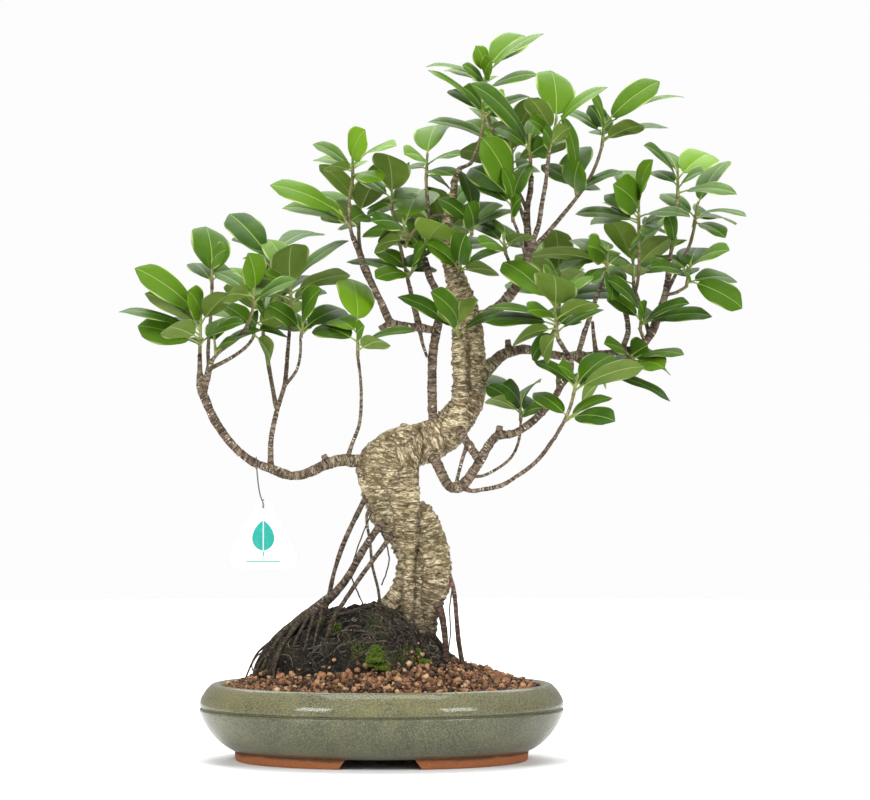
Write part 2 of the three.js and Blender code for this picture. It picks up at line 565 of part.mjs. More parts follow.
const SPRAYS = {
  spray_left_tip: {
    tufts: [{
      at: [-163, -13, 366],
      rise: [1, 1, 34],
      leaves: [
        [-17, 13, 1, 0.35, 20, 40], [-56, 25, 1, 0.9], [-27, 22, -1, -0.8], [-71, 38, -1, 0.3],
        [-25, 33, 1, 0.6], [-49, 54, -1, -0.6], [31, 53, -1, -0.7], [-8, 55, -1, 0.5],
        [-56, 76, 1, 0.8],
      ],
    }],
  },
  spray_left_upper: {
    stem: [[-155, -14, 352], [-156, -7, 368], [-154, -2, 398], [-153, 1, 424]],
    tufts: [{
      at: [-153, 1, 424],
      rise: [0, 2, 22],
      leaves: [
        [-19, 25, 1, 0.7, 20, 40], [-7, 58, 1, 0.85, 33], [27, 40, 1, 0.45], [-58, 49, -1, 0.25],
        [14, 34, -1, 0.6, 20, 40],
      ],
    }],
  },
  spray_left_middle: {
    stem: [[-152, -19, 359], [-144, -22, 368], [-127, -26, 380], [-118, -28, 395], [-114, -29, 407]],
    tufts: [{
      at: [-148, -21, 364],
      rise: [-1, -4, 12],
      leaves: [[18, 12, -1, 0.4, 16, 32], [4, 34, 1, 0.8, 22, 44]],
    }, {
      at: [-114, -29, 407],
      rise: [0, -4, 16],
      leaves: [[7, -9, 1, 0.35, 16, 34], [-23, 9, -1, -0.7, 20, 40], [-2, 46, -1, 0.75, 22]],
    }],
  },
  spray_left_inner: {
    tufts: [{
      at: [-116, 4, 380],
      rise: [2, 4, 14],
      leaves: [
        [17, -22, -1, -0.6, 20, 44], [29, 2, 1, 0.4, 18, 42], [-2, 18, -1, 0.6, 18, 36],
        [28, 20, -1, -0.7, 22, 46],
      ],
    }],
  },
  spray_left_crown: {
    stem: [[-84, 26, 387], [-84, 27, 396], [-83, 28, 407]],
    tufts: [{
      at: [-83, 28, 407],
      rise: [0, 2, 24],
      leaves: [
        [30, 18, 1, 0.6, 20, 42], [-50, 20, -1, -0.6], [-22, 31, -1, 0.4, 18, 46],
        [54, 31, -1, -0.45], [2, 58, -1, -0.9, 32], [52, 63, 1, 0.35], [-22, 65, 1, 0.8],
      ],
    }],
    side: [[-84, 26, 396], [-90, 32, 412], [-98, 37, 426], [-102, 40, 441]],
    sideTufts: [{
      at: [-102, 40, 441],
      rise: [0, 6, 20],
      leaves: [
        [-22, 16, 1, 0.6, 20, 44], [20, 10, 1, 0.5, 20, 44], [-40, 55, 1, 0.9, 26],
        [45, 38, 1, 0.5], [15, 56, 1, 0.85, 26],
      ],
    }],
  },
  spray_left_fork: {
    tufts: [{
      at: [-73, 4, 380],
      rise: [2, -3, 12],
      leaves: [[-3, 21, 1, 0.5, 14, 28], [39, 27, 1, 0.7], [19, 43, -1, 0.5]],
    }],
  },
  spray_inner: {
    tufts: [{
      at: [-21, -26, 363],
      rise: [0, -2, 26],
      leaves: [
        [25, 13, -1, -0.7, 20, 44], [51, 22, -1, 0.3, 18], [-39, 27, 1, 0.7], [6, 26, -1, 0.6, 16, 30],
        [-23, 34, 1, 0.7, 22], [-7, 72, 1, 0.9, 30, 70],
      ],
    }],
  },
  spray_upper_left: {
    stem: [[-26, -7, 470], [-29, -5, 484], [-29, -4, 505], [-26, -3, 523]],
    tufts: [{
      at: [-28, -6, 478],
      rise: [-7, -8, 12],
      leaves: [
        [-61, 19, -1, 0.5, 20], [-26, 26, -1, 0.6, 14, 32], [14, 26, -1, -0.6, 20, 42],
        [-29, 37, 1, 0.25, 16, 44], [-71, 38, 1, 0.7],
      ],
    }, {
      at: [-26, -3, 523],
      rise: [0, 0, 16],
      leaves: [
        [27, -3, -1, 0.6, 20, 40], [-23, 9, -1, -0.5, 18, 36], [-35, 19, 1, 0.5, 22, 44],
        [39, 28, -1, 0.2], [11, 40, -1, 0.8, 22, 46],
      ],
    }],
  },
  spray_upper_middle: {
    stem: [[25, 4, 426], [20, 8, 448], [15, 10, 470], [9, 12, 496]],
    tufts: [{
      at: [23, 6, 434],
      rise: [6, -8, 8],
      leaves: [
        [-55, 15, -1, 0.35], [-28, -1, -1, 0.6, 20, 40], [12, 25, 1, 0.7, 20, 40],
        [16, 29, -1, 0.4, 16, 40],
      ],
    }, {
      at: [9, 12, 496],
      rise: [0, 0, 18],
      leaves: [
        [-19, 5, 1, 0.5, 18, 36], [21, 9, -1, 0.2, 20, 36], [-4, 48, -1, -0.9, 30, 58],
        [14, 42, 1, 0.35, 20], [-24, 34, 1, 0.7, 22, 46],
      ],
    }],
  },
  spray_lateral: {
    stem: [[61, 2, 489], [50, 0, 490], [43, 0, 488], [35, -3, 482], [27, -5, 474], [21, -7, 461]],
    tufts: [{
      at: [23, -7, 465],
      rise: [-3, -6, 16],
      leaves: [
        [-29, -6, -1, -0.6, 18, 40], [-24, 5, -1, -0.7, 18, 38], [-40, 10, 1, 0.5],
        [-30, 17, -1, 0.6, 20, 44], [14, 53, 1, 0.95, 34, 64],
      ],
    }],
    side: [[43, 0, 488], [41, -4, 505], [40, -6, 522]],
    sideTufts: [{
      at: [40, -6, 522],
      rise: [1, -1, 20],
      leaves: [
        [19, -3, 1, 0.5, 18, 36], [23, 2, -1, 0.5, 20, 40], [-22, 11, 1, 0.4, 20, 40],
        [30, 20, -1, 0.25, 18, 44], [-19, 21, -1, 0.5, 20, 40], [11, 54, 1, 0.85, 28, 60],
      ],
    }],
  },
  spray_second_stem: {
    tufts: [{
      at: [38, -2, 451],
      rise: [1, -3, 14],
      leaves: [
        [8, 6, -1, 0.6, 10, 22], [-22, 18, 1, 0.6, 20, 42], [-10, 12, -1, 0.5, 10, 24],
        [17, 30, -1, -0.9, 34, 46],
      ],
    }],
  },
  spray_trunk_upper: {
    stem: [[68, 0, 436], [69, -7, 437], [70, -13, 440]],
    tufts: [{
      at: [69, -8, 437],
      rise: [2, -8, 8],
      leaves: [[35, 0, -1, -0.5, 20, 46], [6, 34, -1, 0.8, 22, 46]],
    }],
  },
  spray_trunk_front: {
    stem: [[71, -8, 378], [70, -16, 380], [69, -20, 383]],
    tufts: [{
      at: [70, -16, 381],
      rise: [-3, -10, 8],
      leaves: [[-55, 36, -1, 0.5], [1, 32, -1, -0.9, 32, 44], [-25, 37, -1, 0.7, 22, 50]],
    }],
  },
  spray_trunk_right: {
    stem: [[60, 3, 463], [66, 0, 464], [74, -4, 467], [81, -8, 472]],
    tufts: [{
      at: [81, -8, 472],
      rise: [0, -2, 20],
      leaves: [
        [-4, 27, -1, 0.7, 20, 40], [23, 32, 1, 0.7, 22, 46], [-12, 63, 1, 0.6, 22, 62],
        [22, 8, -1, 0.5, 18, 36],
      ],
    }],
  },
  spray_top: {
    stem: [
      [131, -2, 494], [126, 2, 506], [116, 8, 526], [110, 12, 544], [105, 15, 558], [98, 17, 574],
      [95, 18, 588], [94, 18, 601],
    ],
    tufts: [{
      at: [108, 13, 549],
      rise: [-8, -6, 12],
      leaves: [[-66, 27, -1, 0.45, 20], [24, 12, 1, 0.6, 20, 44]],
    }, {
      at: [94, 18, 601],
      rise: [0, -2, 22],
      leaves: [
        [46, 16, -1, 0.5, 18, 52], [-21, 25, -1, 0.6, 14, 34], [-37, 24, 1, 0.5, 20, 46],
        [-54, 25, -1, 0.25, 20], [5, 28, -1, 0.6, 18, 36], [52, 55, -1, 0.35, 20],
        [-9, 43, -1, 0.7, 20, 48], [36, 57, 1, 0.85, 26],
      ],
    }],
  },
  spray_trunk_top: {
    stem: [[71, 0, 533], [80, -2, 537], [84, -2, 545], [89, -2, 560], [92, -1, 574], [94, 0, 583]],
    tufts: [{
      at: [92, -1, 574],
      rise: [-2, -3, 16],
      leaves: [[-50, 47, -1, 0.3, 18], [-19, 29, -1, 0.6, 18, 38], [18, 20, -1, 0.6, 18, 38]],
    }],
  },
  spray_high_middle: {
    stem: [[134.6, 1, 525], [134, 2, 540], [133.7, 3, 550]],
    tufts: [{
      at: [134, 2, 538],
      rise: [-1, -4, 20],
      leaves: [
        [20, 27, 1, 0.6, 22, 46], [-54, 65, -1, 0.6, 24, 84], [-12, 38, 1, 0.6, 20, 44],
        [14, 48, 1, 0.7, 20, 48],
      ],
    }],
  },
  spray_high_front: {
    stem: [[149, -21, 535], [150, -22, 545], [151, -23, 552]],
    tufts: [{
      at: [149, -21, 542],
      rise: [7, -4, 30],
      leaves: [
        [-5, 22, -1, 0.5, 18, 34], [20, 26, -1, -0.6, 20, 40], [-17, 31, -1, 0.6, 18, 42],
        [-18, 51, -1, -0.7, 22, 52], [53, 62, -1, 0.4, 22], [4, 80, 1, 0.9, 33, 62],
      ],
    }],
  },
  spray_high_right: {
    stem: [[169, 23, 498], [179, 28, 511], [189, 31, 526], [196, 33, 542], [200, 34, 555]],
    tufts: [{
      at: [177, 27, 509],
      rise: [-3, -8, 12],
      leaves: [
        [0, 29, -1, 0.8, 24, 50], [4, 47, 1, 0.85, 28, 52], [-15, 71, -1, 0.5, 22, 76],
      ],
    }, {
      at: [200, 34, 555],
      rise: [2, 0, 20],
      leaves: [
        [36, 17, -1, -0.6, 20, 46], [61, 18, -1, 0.35, 20], [-1, 40, 1, 0.6, 20, 44],
        [-12, 46, -1, 0.3, 20], [-12, 37, 1, 0.7, 22, 46], [74, 46, -1, 0.25, 20],
        [52, 59, 1, 0.8],
      ],
    }],
  },
  spray_top_inner: {
    tufts: [{
      at: [118, -18, 483],
      rise: [-2, -3, 28],
      leaves: [
        [6, 20, -1, 0.5, 16, 34], [14, 54, 1, 0.6], [-10, 47, -1, 0.5, 20, 46],
        [-38, 51, 1, 0.85, 26], [-28, 74, -1, 0.8, 30, 66],
      ],
    }],
  },
  spray_middle: {
    tufts: [{
      at: [111.5, -18, 454],
      rise: [-2, -4, 14],
      leaves: [[-24, 8, -1, 0.5, 20, 46], [22, 16, -1, -0.5, 18, 40], [-4, 30, 1, 0.8, 23, 44]],
    }],
  },
  spray_front: {
    tufts: [{
      at: [157, -54, 377],
      rise: [-4, -6, 34],
      leaves: [
        [-14, -17, -1, -0.7, 20, 40], [-23, -17, -1, 0.6, 20, 42], [-41, -4, -1, -0.5, 20, 50],
        [-65, 17, 1, 0.5, 22], [-62, 28, -1, 0.3, 20], [32, 32, -1, -0.6, 22, 52],
        [-28, 25, -1, 0.5, 20, 44], [-10, 25, 1, 0.6, 14, 30], [-6, 57, -1, -0.9, 34, 58],
        [30, 59, 1, 0.5], [-48, 71, 1, 0.85, 24, 74], [-10, 68, 1, 0.5, 22, 60],
      ],
    }],
  },
  spray_low_middle: {
    tufts: [{
      at: [125, -8, 305],
      rise: [0, 0, 18],
      leaves: [
        [19, 12, -1, 0.5, 16, 34], [-30, 20, -1, -0.6, 20, 44], [-17, 33, -1, 0.6, 20, 46],
        [18, 36, 1, 0.3, 18, 46], [-45, 35, 1, 0.7],
      ],
    }],
  },
  spray_low_right: {
    stem: [[153, -60, 289], [158, -61.5, 298], [163, -63, 307], [168, -65, 320], [170, -66, 328]],
    tufts: [{
      at: [162, -63, 305],
      rise: [8, -3, 5],
      leaves: [[43, 1, -1, 0.6, 22, 52]],
    }, {
      at: [170, -66, 328],
      rise: [3, -2, 14],
      leaves: [[62, 26, -1, -0.6, 24], [37, 36, 1, 0.7], [-14, 26, -1, 0.5, 16, 34]],
    }],
  },
  spray_hooked: {
    stem: [[198, 39, 364], [200, 36, 355], [200, 33, 346]],
    tufts: [{
      at: [200, 34, 350],
      rise: [2, -4, -10],
      leaves: [[62, -27, -1, 0.4, 20], [-20, -30, -1, -0.6, 20, 44]],
    }],
  },
  spray_low_back: {
    stem: [[222, 41, 368], [224, 34, 364], [227, 28, 360]],
    tufts: [{
      at: [223, 37, 366],
      rise: [7, -12, -8],
      leaves: [
        [-22, 9, -1, 0.5, 18, 38], [-40, 5, -1, -0.6, 20, 48], [35, -3, 1, 0.6, 22, 50],
        [49, -1, -1, 0.3, 20], [40, -18, 1, 0.4, 20, 50], [31, -13, -1, 0.7, 20, 46],
      ],
    }],
  },
  spray_right_low: {
    stem: [[240, 42, 377], [237, 38, 383], [234, 36, 390]],
    tufts: [{
      at: [235, 37, 388],
      rise: [1, -5, 16],
      leaves: [[65, 13, 1, 0.5, 22], [-2, 24, -1, 0.6, 14, 32], [-32, 45, -1, 0.5, 20]],
    }],
  },
  spray_right_inner: {
    stem: [[200, 20, 430], [203, 18, 437], [204, 18, 443]],
    tufts: [{
      at: [203, 18, 438],
      rise: [1, -5, 20],
      leaves: [
        [4, -24, -1, 0.6, 20, 42], [-18, -9, -1, 0.5, 18, 38], [-67, 16, -1, -0.4, 20],
        [-43, 8, 1, 0.6, 22], [-1, 20, -1, -0.8, 20, 40], [-18, 25, -1, 0.8, 26, 44],
        [-9, 34, 1, 0.6, 20, 44],
      ],
    }],
  },
  spray_right_middle: {
    stem: [
      [220, 50, 412], [224, 49, 416], [230, 48, 421], [233.6, 46, 436], [234.5, 44, 454], [234, 42, 479],
    ],
    tufts: [{
      at: [234, 43, 474],
      rise: [0, -3, 30],
      leaves: [
        [1, -1, -1, -0.9, 30, 44], [24, 7, 1, 0.6, 20, 44], [-58, 20, -1, 0.5, 20],
        [-42, 16, 1, 0.6], [44, 16, -1, 0.4, 20], [-27, 33, 1, 0.6, 20], [-25, 44, -1, 0.85, 30],
        [10, 67, -1, 0.4, 20], [-16, 63, 1, 0.85, 28, 62],
      ],
    }],
  },
  spray_right_top: {
    stem: [[262.4, 38, 454], [264, 37, 466], [266, 36, 485], [269, 35, 508]],
    tufts: [{
      at: [263, 37, 459],
      rise: [3, -9, 9],
      leaves: [
        [9, 10, -1, -0.6, 14, 28], [19, 23, -1, 0.5, 18, 40], [-5, 34, -1, 0.6, 20, 42],
        [17, 40, 1, 0.6, 18, 44],
      ],
    }, {
      at: [269, 35, 508],
      rise: [0, -2, 22],
      leaves: [
        [52, 3, -1, 0.45, 20], [21, 22, -1, 0.3, 18, 40], [-24, 26, 1, 0.6, 20, 44],
        [-32, 46, -1, 0.35, 20], [33, 43, 1, 0.85, 28, 60], [-14, 47, 1, 0.7, 22],
      ],
    }],
  },
  spray_right_outer: {
    stem: [[257, 42, 415], [264, 46, 431], [273, 50, 448], [282, 55, 468], [287, 58, 488]],
    tufts: [{
      at: [285, 57, 482],
      rise: [3, 0, 18],
      leaves: [
        [27, -10, -1, 0.6, 18, 40], [42, 5, 1, 0.25, 18], [45, 9, -1, 0.25, 18],
        [35, 64, 1, 0.6, 24, 68],
      ],
    }],
    side: [[259, 43, 420], [268, 41, 422], [278, 38, 428]],
    sideTufts: [{
      at: [277, 38, 427],
      rise: [3, -4, 18],
      leaves: [
        [48, 7, 1, 0.5], [51, -19, -1, 0.8, 26], [-2, 12, -1, 0.5, 14, 28], [-34, 17, -1, 0.5, 20, 46],
        [-24, 30, 1, 0.6, 20, 44], [14, 38, 1, 0.85, 28, 48], [35, 32, -1, 0.4, 20],
      ],
    }],
  },
};

// The tufts at the back grow evenly round their stems: [at, rise, number of leaves, first turn].
const BACK_SPRAYS = {
  spray_back_left: { at: [-95.5, 9, 317], path: [[-103, 36, 352], [-110, 66, 385]], count: 8, turn: 40 },
  spray_back_upper: { at: [-18, 34, 453], path: [[-21, 48, 464], [-22, 60, 478]], count: 8, turn: 100 },
  spray_back_middle: { at: [68, 8, 430], path: [[62, 40, 440], [54, 74, 456]], count: 9, turn: 10 },
  spray_back_top: { at: [124, 36, 503], path: [[121, 52, 516], [119, 64, 532]], count: 8, turn: 70 },
  spray_back_low: { at: [158, 70, 387], path: [[161, 80, 398], [163, 87, 412]], count: 8, turn: 20 },
  spray_back_right: { at: [244, 43, 382], path: [[240, 68, 402], [232, 88, 428]], count: 8, turn: 130 },
};
const GOLDEN_TURN = 137.5;
const BACK_RISE = [0, 12, 30];

// Leaves that fill out each tuft behind: [turn from the right, lift, place along the rise, length].
const FILL_LEAVES = [[18, 26, 0.2, 46], [88, 12, 0.35, 50], [162, 32, 0.5, 44]];
const FILL_SWAY = 17; // how far the turn changes from tuft to tuft, in degrees

// How wide a leaf's blade is along its length, and where its stations are.
const LEAF_STATIONS = [[STALK_SHARE, 0.08], [0.42, 0.95], [0.72, 0.86]];
// How far a crowded leaf may swing to the back or front to clear its neighbours.
const SWINGS = [0, 4, -4, 8, -8, 12, -12, 16, -16, 21, -21, 26, -26, 32, -32, 40, -40, 48, -48];

function vector([x, y, z]) {
  return new THREE.Vector3(x, y, z);
}

// The unit vector out of a leaf's upper face: as far up as it can be while it turns the wanted
// share of the face to the front.
function faceNormal(along, show) {
  const front = new THREE.Vector3(0, -1, 0);
  front.addScaledVector(along, -front.dot(along)).normalize();
  const across = new THREE.Vector3().crossVectors(front, along);
  if (across.z < 0) {
    across.negate();
  }
  return front.multiplyScalar(show).addScaledVector(across, Math.sqrt(1 - show * show));
}

function leafSolid({ base, tip, show, width }) {
  const reach = new THREE.Vector3().subVectors(tip, base);
  const length = reach.length();
  const normal = faceNormal(reach.clone().normalize(), show);
  const side = new THREE.Vector3().crossVectors(reach, normal).normalize();
  const positions = [...base];
  for (const [share, spread] of LEAF_STATIONS) {
    const middle = base.clone().addScaledVector(reach, share);
    middle.addScaledVector(normal, LEAF_ARCH * length * 4 * share * (1 - share));
    const half = Math.max((spread * width) / 2, STALK_RADIUS);
    const depth = spread > 0.5 ? LEAF_THICKNESS : 1.7 * STALK_RADIUS;
    const left = middle.clone().addScaledVector(side, -half).addScaledVector(normal, depth / 2);
    const right = middle.clone().addScaledVector(side, half).addScaledVector(normal, depth / 2);
    const keel = middle.clone().addScaledVector(normal, -depth / 2);
    positions.push(...left, ...right, ...keel);
  }
  positions.push(...tip);
  const end = positions.length / 3 - 1;
  const triangles = [];
  for (let s = 0; s < 3; s += 1) {
    const next = (s + 1) % 3;
    triangles.push(0, 1 + next, 1 + s);
    for (let a = 1; a + 3 < end; a += 3) {
      triangles.push(a + s, a + next, a + next + 3, a + s, a + next + 3, a + s + 3);
    }
    triangles.push(end - 3 + s, end - 3 + next, end);
  }
  return solidFrom(positions, triangles);
}

// The leaves of one tuft. A leaf's depth comes from its length and from how far its tip is
// from its base as seen from the front.
function tuftLeaves(tuft) {
  const start = vector(tuft.at);
  const rise = vector(tuft.rise);
  const size = LEAF_LENGTH / DRAWN_LEAF_LENGTH;
  const count = tuft.leaves.length;
  return tuft.leaves.map((row, index) => {
    const [right, up, side, show, width = DRAWN_LEAF_WIDTH, length = DRAWN_LEAF_LENGTH] = row;
    const base = start.clone().addScaledVector(rise, 0.12 + (0.88 * (index + 0.5)) / count);
    const reach = new THREE.Vector3(right, 0, up).add(start).sub(base);
    reach.y = 0;
    reach.y = side * Math.sqrt(Math.max(length * length - reach.lengthSq(), 9));
    const tip = base.clone().addScaledVector(reach, size);
    return { base, tip, show, width: (width * LEAF_WIDTH) / DRAWN_LEAF_WIDTH };
  });
}

// A leaf's reach from its turn and lift in degrees, and how much of its upper face shows to the
// front when that face is turned up.
function turnedLeaf(base, turn, lift, length, width) {
  const angle = THREE.MathUtils.degToRad(turn);
  const rise = THREE.MathUtils.degToRad(lift);
  const out = new THREE.Vector3(
    Math.cos(angle) * Math.cos(rise),
    Math.sin(angle) * Math.cos(rise),
    Math.sin(rise),
  );
  const tip = base.clone().addScaledVector(out, length);
  const show = Math.sign(Math.sin(angle)) * (0.35 + 0.6 * Math.abs(Math.sin(angle)));
  return { base, tip, show, width };
}

function fillLeaves(tuft, index) {
  const start = vector(tuft.at);
  const rise = vector(tuft.rise);
  const sway = FILL_SWAY * ((index % 3) - 1);
  return FILL_LEAVES.map(([turn, lift, share, length]) => turnedLeaf(
    start.clone().addScaledVector(rise, share),
    turn + sway,
    lift,
    (length * LEAF_LENGTH) / DRAWN_LEAF_LENGTH,
    (LEAF_WIDTH * length) / DRAWN_LEAF_LENGTH,
  ));
}

function backLeaves({ path, count, turn }) {
  const start = vector(path[path.length - 1]);
  const rise = vector(BACK_RISE);
  const leaves = [];
  for (let i = 0; i < count; i += 1) {
    const base = start.clone().addScaledVector(rise, 0.1 + (0.85 * i) / count);
    const lift = 8 + (50 * i) / count;
    leaves.push(turnedLeaf(base, turn + i * GOLDEN_TURN, lift, LEAF_LENGTH, LEAF_WIDTH));
  }
  return leaves;
}

const STEM_SIDES = 4;
const BUD_SIDES = 3;

function stemTube(points, thick, thin) {
  const last = points.length - 1;
  const path = points.map((point, i) => [...point, THREE.MathUtils.lerp(thick, thin, i / last)]);
  return limb(path, STEM_SIDES);
}

// The leafy end of a stem, with the bud that closes it.
function leafyStem(at, rise) {
  const end = vector(at).add(vector(rise));
  const bud = vector(rise).normalize().multiplyScalar(BUD_LENGTH * 0.4).add(end);
  const point = vector(rise).normalize().multiplyScalar(BUD_LENGTH).add(end);
  return limb([
    [...at, STEM_RADIUS],
    [...end, STEM_RADIUS * 0.6],
    [...bud, STEM_RADIUS * 0.7],
    [...point, BUD_POINT_RADIUS],
  ], BUD_SIDES);
}

const near = (a, b, margin) => [0, 1, 2].every((axis) => (
  a.min[axis] - margin < b.max[axis] && b.min[axis] - margin < a.max[axis]
));

// Obstacles are solids with their boxes. A leaf keeps clear of all but its own spray's stems.
function clears(solid, obstacles, own) {
  const box = solid.boundingBox();
  return obstacles.every((obstacle) => (
    obstacle.owner === own
    || !near(box, obstacle.box, LEAF_CLEARANCE)
    || solid.minGap(obstacle.solid, LEAF_CLEARANCE) >= LEAF_CLEARANCE
  ));
}

// Turns a leaf on its stalk, a little further each time, until it clears everything.
function settledLeaf(leaf, obstacles, own) {
  for (const swing of SWINGS) {
    const tip = leaf.tip.clone().add(new THREE.Vector3(0, swing, 0));
    const solid = leafSolid({ ...leaf, tip });
    if (clears(solid, obstacles, own)) {
      return solid;
    }
  }
  return null;
}

const growSpray = (spray) => ({
  stem: spray.stem?.map(grown),
  side: spray.side?.map(grown),
  tufts: [...spray.tufts, ...(spray.sideTufts ?? [])].map((tuft) => ({ ...tuft, at: grown(tuft.at) })),
});

function makeSprays(wood, woodClearance) {
  const obstacles = wood.map((solid) => ({ solid, box: solid.boundingBox(), owner: 'wood' }));
  const plans = [];
  for (const [name, drawn] of Object.entries(SPRAYS)) {
    const spray = growSpray(drawn);
    const stems = spray.tufts.map((tuft) => leafyStem(tuft.at, tuft.rise));
    for (const path of [spray.stem, spray.side]) {
      if (path) {
        stems.push(stemTube(path, STEM_RADIUS, STEM_RADIUS * 0.85));
      }
    }
    plans.push({
      name,
      stems: joined(stems),
      leaves: spray.tufts.flatMap(tuftLeaves),
      fillers: spray.tufts.flatMap(fillLeaves),
    });
  }
  for (const [name, drawn] of Object.entries(BACK_SPRAYS)) {
    const path = [drawn.at, ...drawn.path].map(grown);
    const stems = [
      stemTube(path, STEM_RADIUS * 1.2, STEM_RADIUS),
      leafyStem(path[path.length - 1], BACK_RISE),
    ];
    plans.push({ name, stems: joined(stems), leaves: backLeaves({ ...drawn, path }), fillers: [] });
  }
  for (const plan of plans) {
    plan.solid = largestBody(plan.stems.subtract(woodClearance));
    obstacles.push({ solid: plan.solid, box: plan.solid.boundingBox(), owner: plan.name });
  }
  // The fillers take the room that the other leaves leave.
  for (const kind of ['leaves', 'fillers']) {
    for (const plan of plans) {
      for (const leaf of plan[kind]) {
        const solid = settledLeaf(leaf, obstacles, plan.name);
        if (solid) {
          obstacles.push({ solid, box: solid.boundingBox(), owner: 'leaf' });
          plan.solid = plan.solid.add(solid);
        }
      }
    }
  }
  const simplified = plans.map(({ name, solid }) => [
    name,
    largestBody(solid.simplify(LEAF_TOLERANCE)),
  ]);
  return Object.fromEntries(simplified);
}

// ---------------------------------------------------------------- plant tag on its wire

const TAG_HOLE = [-105.8, -17.8, 225];
const TAG_TOP_MARGIN = 9; // from the hole's centre to the top of the tag
const TAG_TOP_HALF = 7;
const TAG_SHOULDER = [TAG_TOP_HALF + 4, -2]; // where the round top meets the slanting side
const TAG_SIDE_INSET = 6; // from the tag's full width to the lower end of the slanting side
const TAG_SIDE_FOOT = 22; // from the bottom edge up to there
const TAG_CORNER = 14; // from the tag's full width to the start of the bottom edge

// The wire loops over the left branch, hangs down and hooks through the tag.
const WIRE_PATH = [
  [-112.5, -14.4, 262.6], [-112.6, -11.7, 267.3], [-112.4, -13.2, 271.1], [-112.2, -17, 272.7],
  [-112, -20.8, 271.1], [-111.8, -22.3, 267.3], [-111.4, -22, 262], [-110.8, -21.3, 255],
  [-109.8, -20.8, 246], [-108.2, -20.5, 238], [-106.2, -20.5, 232.5], [-105.8, -19.8, 228.9],
  [-105.8, -17.8, 227.5], [-105.8, -15.8, 228.9], [-105.8, -15.1, 232], [-105.8, -15.1, 235],
];

function circlePoints(radius, sides) {
  const points = [];
  for (let s = 0; s < sides; s += 1) {
    const angle = (2 * Math.PI * s) / sides;
    points.push(new THREE.Vector2(radius * Math.cos(angle), radius * Math.sin(angle)));
  }
  return points;
}

// A triangle with a round top and round corners, laid out about its hole and mirrored.
function makeTag() {
  const bottom = -TAG_HEIGHT + TAG_TOP_MARGIN;
  const half = TAG_WIDTH / 2;
  const top = [0, TAG_TOP_MARGIN];
  const sideFoot = [half - TAG_SIDE_INSET, bottom + TAG_SIDE_FOOT];
  const corner = [half - TAG_CORNER, bottom];
  const topPulls = [[TAG_TOP_HALF, TAG_TOP_MARGIN], [TAG_TOP_HALF + 1, 4]];
  const cornerPulls = [[half + 3, bottom + 5], [half - 4, bottom + 1]];
  const mirrored = ([x, y]) => [-x, y];
  const outline = new THREE.Shape();
  outline.moveTo(...top);
  outline.bezierCurveTo(...topPulls[0], ...topPulls[1], ...TAG_SHOULDER);
  outline.lineTo(...sideFoot);
  outline.bezierCurveTo(...cornerPulls[0], ...cornerPulls[1], ...corner);
  outline.lineTo(...mirrored(corner));
  outline.bezierCurveTo(
    ...mirrored(cornerPulls[1]),
    ...mirrored(cornerPulls[0]),
    ...mirrored(sideFoot),
  );
  outline.lineTo(...mirrored(TAG_SHOULDER));
  outline.bezierCurveTo(...mirrored(topPulls[1]), ...mirrored(topPulls[0]), ...top);
  outline.holes.push(new THREE.Path(circlePoints(TAG_HOLE_RADIUS, 14)));
  const plate = new THREE.ExtrudeGeometry(outline, {
    depth: TAG_THICKNESS,
    bevelEnabled: false,
    curveSegments: 6,
  });
  plate.translate(0, 0, -TAG_THICKNESS / 2);
  plate.rotateX(Math.PI / 2);
  plate.translate(...grown(TAG_HOLE));
  return solidOf(plate);
}

// The wire keeps its own size. It hangs from wherever the tree's height puts the branch.
function makeWire() {
  const [x, y, z] = TAG_HOLE;
  const [atX, atY, atZ] = grown(TAG_HOLE);
  const route = new THREE.CatmullRomCurve3(
    WIRE_PATH.map((point) => new THREE.Vector3(
      point[0] - x + atX,
      point[1] - y + atY,
      point[2] - z + atZ,
    )),
    false,
    'centripetal',
  );
  const section = new THREE.Shape(circlePoints(WIRE_DIAMETER / 2, 8));
  const tube = new THREE.ExtrudeGeometry(section, {
    steps: 34,
    extrudePath: route,
    bevelEnabled: false,
  });
  return solidOf(tube);
}

// ---------------------------------------------------------------- moss

// Cushions as [x, y, radius, rise] on the ground.
const MOSS_TUFTS = {
  moss_left: [[-5, -59, 7, 5], [2, -61, 6, 4.5], [-10, -60, 4, 3.5]],
  moss_right: [[37, -37, 5.5, 4.2], [42, -33, 4, 3.4]],
};

function makeMoss(cushions, ground) {
  const blobs = cushions.map(([x, y, radius, rise]) => {
    const ball = new THREE.SphereGeometry(1, 7, 5);
    ball.rotateX(Math.PI / 2);
    ball.scale(radius, radius, rise);
    ball.translate(x, y, groundHeight(x, y));
    return solidOf(ball);
  });
  return largestBody(joined(blobs).subtract(ground));
}

// ---------------------------------------------------------------- the plant put together

const LOOKS = {
  glaze: { color: 0xa9b3a4, roughness: 0.22, metalness: 0 },
  drain: { color: 0x2c2f2e, roughness: 0.6, metalness: 0 },
  soil: { color: 0x33291f, roughness: 1, metalness: 0 },
  gravel: { color: 0x9a6b45, roughness: 0.95, metalness: 0 },
  moss: { color: 0x6f9a2c, roughness: 0.95, metalness: 0 },
  bark: { color: 0xa89878, roughness: 0.85, metalness: 0 },
  twig: { color: 0x6e5640, roughness: 0.8, metalness: 0 },
  leaf: { color: 0x3f6b2b, roughness: 0.38, metalness: 0 },
  tag: { color: 0xf1f3ef, roughness: 0.4, metalness: 0 },
  wire: { color: 0x3c4043, roughness: 0.45, metalness: 0.4 },
};

const group = new THREE.Group();

